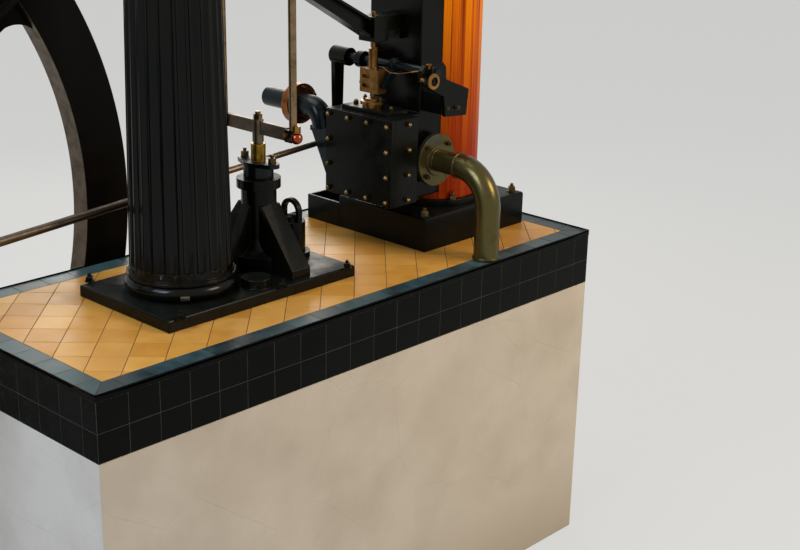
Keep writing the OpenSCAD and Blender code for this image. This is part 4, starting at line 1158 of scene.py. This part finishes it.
@dataclass
class ValveChest:
    """The valve chest with its cover, gland, spindle, guide and pipes."""

    nut: float = 23 * MM
    inset: float = 27 * MM
    side_nuts: float = 73 * MM
    pad_nuts: tuple[float, float] = (82 * MM, 122 * MM)
    gland_stud: float = 52 * MM
    gland_rise: float = 35 * MM
    exhaust_flange: float = 28 * MM
    exhaust_face: float = 37 * MM
    exhaust_bolts: int = 4
    exhaust_inset: float = 27 * MM
    exhaust_pipe: float = 60 * MM
    joint_y: float = -394 * MM
    joint_r: float = 56.7 * MM
    inlet_r: float = 104 * MM
    inlet_pair: tuple[float, float] = (257 * MM, 45 * MM)
    inlet_circle: float = 84 * MM
    inlet_bolts: int = 6
    inlet_pipe: float = 30 * MM

    def build(self) -> None:
        """Dresses the castings and adds the nuts, studs and pipe fittings."""
        recast({"valve_chest": 4, "chest_cover": 3, "spindle_guide": 3})
        recast({"valve_gland": 1.5, "valve_spindle": 1.5}, (SPINDLE_BRASS,))
        self.cover_nuts()
        self.gland_studs()
        self.exhaust()
        self.inlet()

    def cover_nuts(self) -> None:
        """Domed nuts round the cover, down the chest's sides and on its pad."""
        piece = Workpiece("chest_nuts")
        low, high = node_box("chest_cover")
        ys, zs = (
            [start + self.inset + (end - start - 2 * self.inset) * i / 3 for i in range(4)]
            for start, end in ((low.y, high.y), (low.z, high.z))
        )
        outer = {ys[0], ys[3], zs[0], zs[3]}
        rim = [spot for spot in spots((low.x,), ys, zs) if outer & set(spot[1:])]
        piece.nuts(rim, (-1, 0, 0), self.nut, style=NutStyle.DOMED)
        low, high = node_box("valve_chest")
        for way, y in ((NEAR, low.y), (FAR, high.y)):
            piece.nuts(spots((high.x - self.side_nuts,), (y,), zs), way, self.nut, style=NutStyle.DOMED)
        pad_x, pad_y = self.pad_nuts
        piece.nuts(spots((low.x + pad_x,), both(pad_y), (high.z,)), UP, self.nut, style=NutStyle.DOMED)
        piece.finish("root", (DARK_BRASS, DULL_BRASS))

    def gland_studs(self) -> None:
        """The two studs and nuts of the spindle's gland."""
        piece = Workpiece("gland_studs")
        low, high = node_box("valve_gland")
        centre = middle("valve_gland")
        ys = both(self.gland_stud, centre.y)
        for foot in spots((centre.x,), ys, (low.z,)):
            piece.prism(facing(foot, UP), 5 * MM, high.z - low.z + 12 * MM, 12)
        piece.nuts(spots((centre.x,), ys, (low.z + self.gland_rise,)), UP, 18 * MM, stud=0.2)
        piece.finish("root", (DARK_BRASS,))

    def exhaust(self) -> None:
        """The exhaust pipe in bronze paint, with its flange, joint ring and bolts."""
        low, high = node_box("exhaust_pipe")
        radius = (high.x - low.x) / 2
        centre = Vector(((low.x + high.x) / 2, 0, high.z - radius))
        back = high.y - self.exhaust_face
        front = back - self.exhaust_flange

        def flange_or_pipe(at: Vector, _: Vector) -> int:
            """Tells the round flange's faces from the pipe by their distance from the axis."""
            away = math.hypot(at.x - centre.x, at.z - centre.z)
            return int(at.y > front - 6 * MM and away > self.exhaust_pipe)

        Recast("exhaust_pipe", (BRONZED, SLATE_FLANGE), 2 * MM, flange_or_pipe).build()
        piece = Workpiece("exhaust_bolts")
        for y, way, stud in ((front, NEAR, 0.45), (back, FAR, 0.2)):
            at = (centre.x, y, centre.z)
            circle = ring(at, radius - self.exhaust_inset, self.exhaust_bolts, "Y", start=45)
            piece.nuts(circle, way, 22 * MM, stud=stud)
        piece.finish("root", (DARK_BRASS,))
        rings = Workpiece("exhaust_joint_ring")
        rings.prism(facing((centre.x, self.joint_y, centre.z), NEAR), self.joint_r, 2 * MM, 64)
        rings.prism(facing((centre.x, front + 2 * MM, centre.z), NEAR), self.joint_r + 4 * MM, 5 * MM, 64)
        rings.finish("root", (BRASS,))

    def inlet(self) -> None:
        """The inlet elbow in dark enamel with a heat-browned flange pair."""
        low, high = node_box("steam_inlet")
        leg = Vector((low.x + self.inlet_r, 0, high.z - self.inlet_r))
        from_end, thickness = self.inlet_pair
        front = high.y - from_end
        back = front + thickness

        def flange_or_pipe(at: Vector, _: Vector) -> int:
            """Tells the flange pair from the pipe by its distance from the pipe's axis."""
            away = math.hypot(at.x - leg.x, at.z - leg.z)
            return int(front - 1 * MM < at.y < back + 1 * MM and away > self.inlet_pipe)

        Recast("steam_inlet", (TEAL_CASTING, BROWNED_BRONZE), 2 * MM, flange_or_pipe).build()
        piece = Workpiece("inlet_bolts")
        for y, way, stud in ((front, NEAR, 0.45), (back, FAR, 0.3)):
            circle = ring((leg.x, y, leg.z), self.inlet_circle, self.inlet_bolts, "Y", start=30)
            piece.nuts(circle, way, 20 * MM, stud=stud)
        piece.finish("root", (DARK_BRASS,))


@dataclass
class ValveGear:
    """The rocking shaft with its bracket and lever, and the eccentric with its rod."""

    plate: float = 24 * MM
    plate_bolts: tuple[tuple[float, float], ...] = ((122 * MM, -149 * MM), (200 * MM, -157 * MM))
    bush_nuts: tuple[tuple[float, float], ...] = ((-60 * MM, 12 * MM), (55 * MM, 12 * MM))
    strap_bolt: tuple[float, float] = (26 * MM, 13 * MM)
    lever_pin: float = 34 * MM
    oil_pipe: float = 3.2 * MM
    pipe_path: tuple[Point, ...] = (
        (1.206, -0.076, 2.655), (1.198, -0.13, 2.640), (1.190, -0.200, 2.646), (1.205, -0.262, 2.662),
        (1.239, -0.300, 2.670), (1.262, -0.317, 2.690),
    )

    def build(self) -> None:
        """Dresses the gear and adds bushes, bolts and the oil pipe."""
        recast({"rocker_bracket": 3, "rocker_lever": 4})
        recast({"rocker_shaft": 2}, (TEAL_CASTING,))
        recast({"eccentric_sheave": 2}, (STEEL,))
        recast({"eccentric_rod": 2}, (FORGED,))
        self.bracket_fittings()
        self.bent_pipe()
        self.strap_bolts()

    def bracket_fittings(self) -> None:
        """Bolts, brass bush and oil cup of the near bracket."""
        bolts = Workpiece("bracket_bolts")
        near = node_box("rocker_bracket")[0].y
        face = near + self.plate
        shaft = middle("rocker_shaft")
        places = [(shaft.x + x, face, shaft.z + z) for x, z in self.plate_bolts]
        bolts.nuts(places, NEAR, 20 * MM, stud=0.25)
        bolts.finish("root", (DARK_BRASS,))
        bush = Workpiece("bracket_bush")
        rim = profile((22.5, 0), (40, 0), (40, 5), (37, 8), (22.5, 8))
        bush.turned(rim, facing((shaft.x, near + 1 * MM, shaft.z), NEAR), 40)
        places = [(shaft.x + x, face, shaft.z + z) for x, z in self.bush_nuts]
        bush.nuts(places, NEAR, 16 * MM, stud=0.2)
        cup_foot = (shaft.x, near + 34 * MM, shaft.z + 40 * MM)
        bush.turned(oil_cup(9, 17, 10, 12, 18, 38, 43, 44), facing(cup_foot, UP), 24)
        bush.finish("root", (BRASS,))

    def bent_pipe(self) -> None:
        """The bent oil pipe that leads to the near bracket."""
        pipe = Workpiece("oil_pipe")
        for start, end in zip(self.pipe_path, self.pipe_path[1:]):
            run = Vector(end) - Vector(start)
            pipe.prism(facing(start, run), self.oil_pipe, run.length, 12)
            pipe.ball(start, self.oil_pipe)
        pipe.finish("root", (BRASS,))

    def strap_bolts(self) -> None:
        """Bolts that hold the two halves of the eccentric's strap, and the nut on the lever's pin."""
        piece = Workpiece("strap_bolts")
        sheave = middle("eccentric_sheave")
        low, high = node_box("eccentric_rod")
        out, from_end = self.strap_bolt
        for z in both(sheave.z - low.z - from_end, sheave.z):
            for side in (-1, 1):
                piece.nut((sheave.x + side * out, sheave.y, z), (side, 0, 0), 20 * MM, stud=0.3)
        pin = node_box("rocker_lever")[0].z + self.lever_pin
        piece.nut((middle("rocker_shaft").x, high.y, pin), FAR, 26 * MM, stud=0.3)
        piece.finish(rider("eccentric_rod"), (DARK_BRASS,))


@dataclass
class Pump:
    """The feed pump with its valve box, crossbar and side rods."""

    gland_y: float = 95 * MM
    gland_flange: float = 80 * MM
    bar_nut: float = 36 * MM
    bar_stud: float = 12 * MM
    rod_y: float = 238 * MM
    ball_y: float = 260 * MM
    ball_r: float = 28 * MM
    clamp: float = 34 * MM

    def build(self) -> None:
        """Dresses the pump and adds its glands, nuts and rods."""
        recast({"pump_body": 4, "pump_valve_box": 3, "pump_stirrup": 3})
        recast({"pump_cross_shaft": 1}, (STEEL,))
        self.gland()
        self.crossbar()
        self.side_rods()

    def gland(self) -> None:
        """The gland in teal enamel with its brass bush and two studs."""
        flange_top = node_box("pump_gland")[1].z - self.gland_flange

        def part(at: Vector, _: Vector) -> int:
            """Tells the bush from the flange by height."""
            return int(at.z > flange_top + 1 * MM)

        Recast("pump_gland", (TEAL_CASTING, BUSH_BRASS), 2 * MM, part).build()
        piece = Workpiece("pump_gland_nuts")
        nuts = spots((middle("pump_gland").x,), both(self.gland_y), (flange_top,))
        piece.nuts(nuts, UP, 32 * MM, stud=0.5)
        piece.finish(rider("pump_gland"), (DARK_BRASS,))

    def crossbar(self) -> None:
        """The crossbar with its brown nut."""
        top = node_box("pump_crossbar")[1].z

        def part(at: Vector, _: Vector) -> int:
            """Tells the nut from the bar and the stud by height."""
            return 2 if at.z > top - self.bar_stud + 1 * MM else int(at.z > top - self.bar_nut + 1 * MM)

        Recast("pump_crossbar", (FORGED, DARK_BRASS, OILED_ROD), 2 * MM, part).build()

    def side_rods(self) -> None:
        """The side rods with dark clamps, copper balls and brown nuts."""
        x = middle("pump_crossbar").x
        ball_z = node_box("pump_side_rods")[0].z + self.ball_r
        clamp_top = ball_z + self.clamp

        def part(at: Vector, _: Vector) -> int:
            """Tells the ball and the clamp from the rod by place.

            Args:
                at: The middle of a face.

            Returns:
                The number of the face's finish.
            """
            out = Vector((at.x - x, abs(at.y) - self.ball_y, at.z - ball_z))
            if out.length < self.ball_r + 1 * MM and abs(at.y) > self.rod_y + 12.5 * MM:
                return 1
            return 2 if at.z < clamp_top + 1 * MM else 0

        Recast("pump_side_rods", (OILED_ROD, COPPER, CASTING), 1.5 * MM, part).build()
        piece = Workpiece("clamp_nuts")
        tops = spots((x,), both(self.rod_y + 22 * MM), (clamp_top - 8 * MM,))
        sides = spots((x - 24 * MM,), both(self.rod_y - 20 * MM), (ball_z + 10 * MM,))
        piece.nuts(tops, UP, 34 * MM, stud=0.15)
        piece.nuts(sides, (-1, 0, 0), 20 * MM, stud=0.2)
        piece.finish(rider("pump_side_rods"), (BRASS,))


@dataclass
class BeamEnd:
    """The beam and the connecting rod."""

    throw: float = 500 * MM
    brass_r: float = 67 * MM
    strap_half: float = 60.5 * MM
    brass_flange: float = 6 * MM
    oiler: Point = (75 * MM, 0.0, 148 * MM)

    def build(self) -> None:
        """Dresses the beam, its pins and the connecting rod."""
        recast({"beam": 3})
        recast({"beam_gudgeon": 3, "beam_end_pins": 3}, (STEEL,))
        shaft = middle("crankshaft")
        pin = Vector((shaft.x, 0, shaft.z + self.throw))

        def part(at: Vector, _: Vector) -> int:
            """Tells the crank pin's brasses from the rod by place.

            Args:
                at: The middle of a face.

            Returns:
                The number of the face's finish.
            """
            away = math.hypot(at.x - pin.x, at.z - pin.z)
            proud = abs(at.y) - self.strap_half
            return int(away < self.brass_r and 0 < proud < self.brass_flange)

        Recast("connecting_rod", (FORGED, BRASS), 3 * MM, part).build()
        piece = Workpiece("rod_oil_cup")
        piece.turned(oil_cup(10, 20, 12, 14, 20, 45, 51, 52), facing(pin + Vector(self.oiler), UP), 24)
        piece.finish(rider("connecting_rod"), (BRASS,))


@dataclass
class CrankEnd:
    """The crank, the crankshaft with its bearings and the flywheel."""

    lug_x: float = 172 * MM
    lug_rise: float = 38 * MM
    sole_x: float = 235 * MM
    sole_y: float = 50 * MM
    pier_drop: float = 154 * MM
    lid: Point = (46 * MM, 49 * MM, 8 * MM)
    hub_half: float = 127 * MM
    key_low: Point = (-16 * MM, -4 * MM, 68 * MM)
    key_high: Point = (16 * MM, 34 * MM, 92 * MM)

    def build(self) -> None:
        """Dresses the crank end."""
        recast({"crank": 4})
        recast({"crankshaft": 3}, (STEEL,))
        recast({"shaft_bearings": 4})
        recast({"flywheel_arms": 4}, (WHEEL_PAINT,))

        def bare_or_painted(_: Vector, normal: Vector) -> int:
            """Tells the rim's bare inner and outer faces from its painted sides."""
            return int(abs(normal.y) < 0.5)

        Recast("flywheel_rim", (WHEEL_PAINT, TURNED_RIM), 4 * MM, bare_or_painted).build()
        self.bearing_bolts()
        self.oil_box_lids()
        self.keys()

    def bearing_bolts(self) -> None:
        """Cap bolts and holding-down bolts of the two shaft bearings."""
        piece = Workpiece("bearing_bolts")
        shaft = middle("crankshaft")
        for pier in ("inner_bearing_pier", "outer_bearing_pier"):
            y = middle(pier).y
            piece.nuts(spots(both(self.lug_x, shaft.x), (y,), (shaft.z + self.lug_rise,)), UP, 38 * MM)
            soles = spots(both(self.sole_x, shaft.x), both(self.sole_y, y), (shaft.z - self.pier_drop,))
            piece.nuts(soles, UP, 28 * MM, style=NutStyle.SQUARE)
        piece.finish("root", (DARK_BRASS,))

    def oil_box_lids(self) -> None:
        """Brass lids with turned knobs on the oil boxes of the two shaft bearings."""
        piece = Workpiece("oil_box_lids")
        x = middle("crankshaft").x
        top = node_box("shaft_bearings")[1].z
        half = Vector((*self.lid[:2], self.lid[2] / 2))
        knob = profile((0, 0), (7, 0), (6, 8), (12, 14), (12, 19), (0, 22))
        for pier in ("inner_bearing_pier", "outer_bearing_pier"):
            y = middle(pier).y
            centre = Vector((x, y, top - 1 * MM + half.z))
            piece.block(centre - half, centre + half, 2 * MM)
            piece.turned(knob, facing((x, y, top + self.lid[2] - 2 * MM), UP), 20)
        piece.finish("root", (BRASS,))

    def keys(self) -> None:
        """Gib-headed keys of the crank and of the flywheel's hub."""
        shaft = middle("crankshaft")
        hub_face = middle("flywheel_rim").y + self.hub_half
        for node, turn, face in (("crank", 0.0, node_box("crank")[1].y), ("flywheel_arms", 60.0, hub_face)):
            piece = Workpiece(f"{node}_key")
            piece.block(self.key_low, self.key_high, 2 * MM)
            place = Matrix.Rotation(math.radians(turn), 4, "Y")
            place = Matrix.Translation((shaft.x, face, shaft.z)) @ place
            bmesh.ops.transform(piece.bm, matrix=place, verts=piece.bm.verts[:])
            piece.finish(rider(node), (STEEL,))


@dataclass
class Studio:
    """The camera at the photograph's angle, soft lights and a plain pale floor."""

    eye: Point = (-3.6901, -4.7938, 3.9214)
    right: Point = (0.6881, -0.7254, 0.0200)
    up: Point = (0.2220, 0.2367, 0.9459)
    forward: Point = (0.69085, 0.64639, -0.32388)
    lens: float = 63.36
    floor_size: float = 400.0

    def build(self) -> None:
        """Sets up the whole studio."""
        scene = bpy.context.scene
        camera = bpy.data.cameras.new("photo_camera")
        camera.lens, camera.sensor_width, camera.sensor_fit = self.lens, 36.0, "HORIZONTAL"
        camera.clip_end = 200.0
        holder = bpy.data.objects.new("photo_camera", camera)
        scene.collection.objects.link(holder)
        turn = Matrix((self.right, self.up, [-c for c in self.forward])).transposed()
        holder.matrix_world = Matrix.Translation(self.eye) @ turn.to_quaternion().to_matrix().to_4x4()
        scene.camera = holder
        scene.view_settings.view_transform = "Standard"
        self.lamp("window_light", (-6.0, -0.5, 6.8), (0.3, 0.0, 2.2), 3.6, 470.0, "#d6e4ff")
        self.lamp("room_light", (4.2, -6.5, 6.2), (0.8, 0.0, 2.4), 3.2, 400.0, "#ffe2bd")
        self.lamp("top_light", (-0.5, 2.5, 9.5), (0.0, 0.0, 2.0), 5.0, 240.0, "#ffffff")
        self.lamp("back_light", (5.5, 6.5, 5.0), (0.0, 0.0, 2.0), 4.0, 200.0, "#fff6ea")
        self.world()
        self.floor()

    def lamp(self, name: str, at: Point, target: Point, size: float, watts: float, colour: str) -> None:
        """Hangs one soft square lamp.

        Args:
            name: Its name in the scene.
            at: Where it hangs.
            target: The point that it looks at.
            size: The length of its side, in metres.
            watts: Its power.
            colour: The sRGB hex colour of its light.
        """
        data = bpy.data.lights.new(name, "AREA")
        data.energy, data.size, data.color = watts, size, srgb(colour)[:3]
        lamp = bpy.data.objects.new(name, data)
        bpy.context.scene.collection.objects.link(lamp)
        lamp.matrix_world = facing(at, Vector(at) - Vector(target))

    def world(self) -> None:
        """A soft world light, behind which the camera, metal and glass see a pale backdrop."""
        world = bpy.data.worlds.new("pale_room")
        bpy.context.scene.world = world
        world.use_nodes = True
        world.node_tree.nodes.clear()
        add = partial(add_node, world.node_tree)
        light = add("Background", {"Color": srgb("#dfe3e6"), "Strength": 0.3})
        backdrop = add("Background", {"Color": srgb("#cccccb"), "Strength": 1.0})
        shade = add("MixShader", {0: backdrop_rays(add), 1: light, 2: backdrop})
        add("OutputWorld", {"Surface": shade})

    def floor(self) -> None:
        """A wide floor under the engine."""
        mesh = bpy.data.meshes.new("stage_floor")
        bm = bmesh.new()
        bmesh.ops.create_grid(bm, x_segments=1, y_segments=1, size=self.floor_size)
        bmesh.ops.translate(bm, verts=bm.verts[:], vec=(0, 0, CAD_BOX[0][2] - 0.5 * MM))
        bm.to_mesh(mesh)
        bm.free()
        floor = bpy.data.objects.new("stage_floor", mesh)
        mesh.materials.append(FLOOR.material())
        bpy.context.scene.collection.objects.link(floor)


def main() -> None:
    """Builds the studio and every sub-assembly in order."""
    logging.basicConfig(level=logging.INFO, format="%(name)s: %(message)s")
    for part in (Studio, Plinth, Column, Cylinder, ValveChest, ValveGear, Pump, BeamEnd, CrankEnd):
        part().build()
        LOG.info("%s built", part.__name__)


if __name__ == "__main__":
    main()
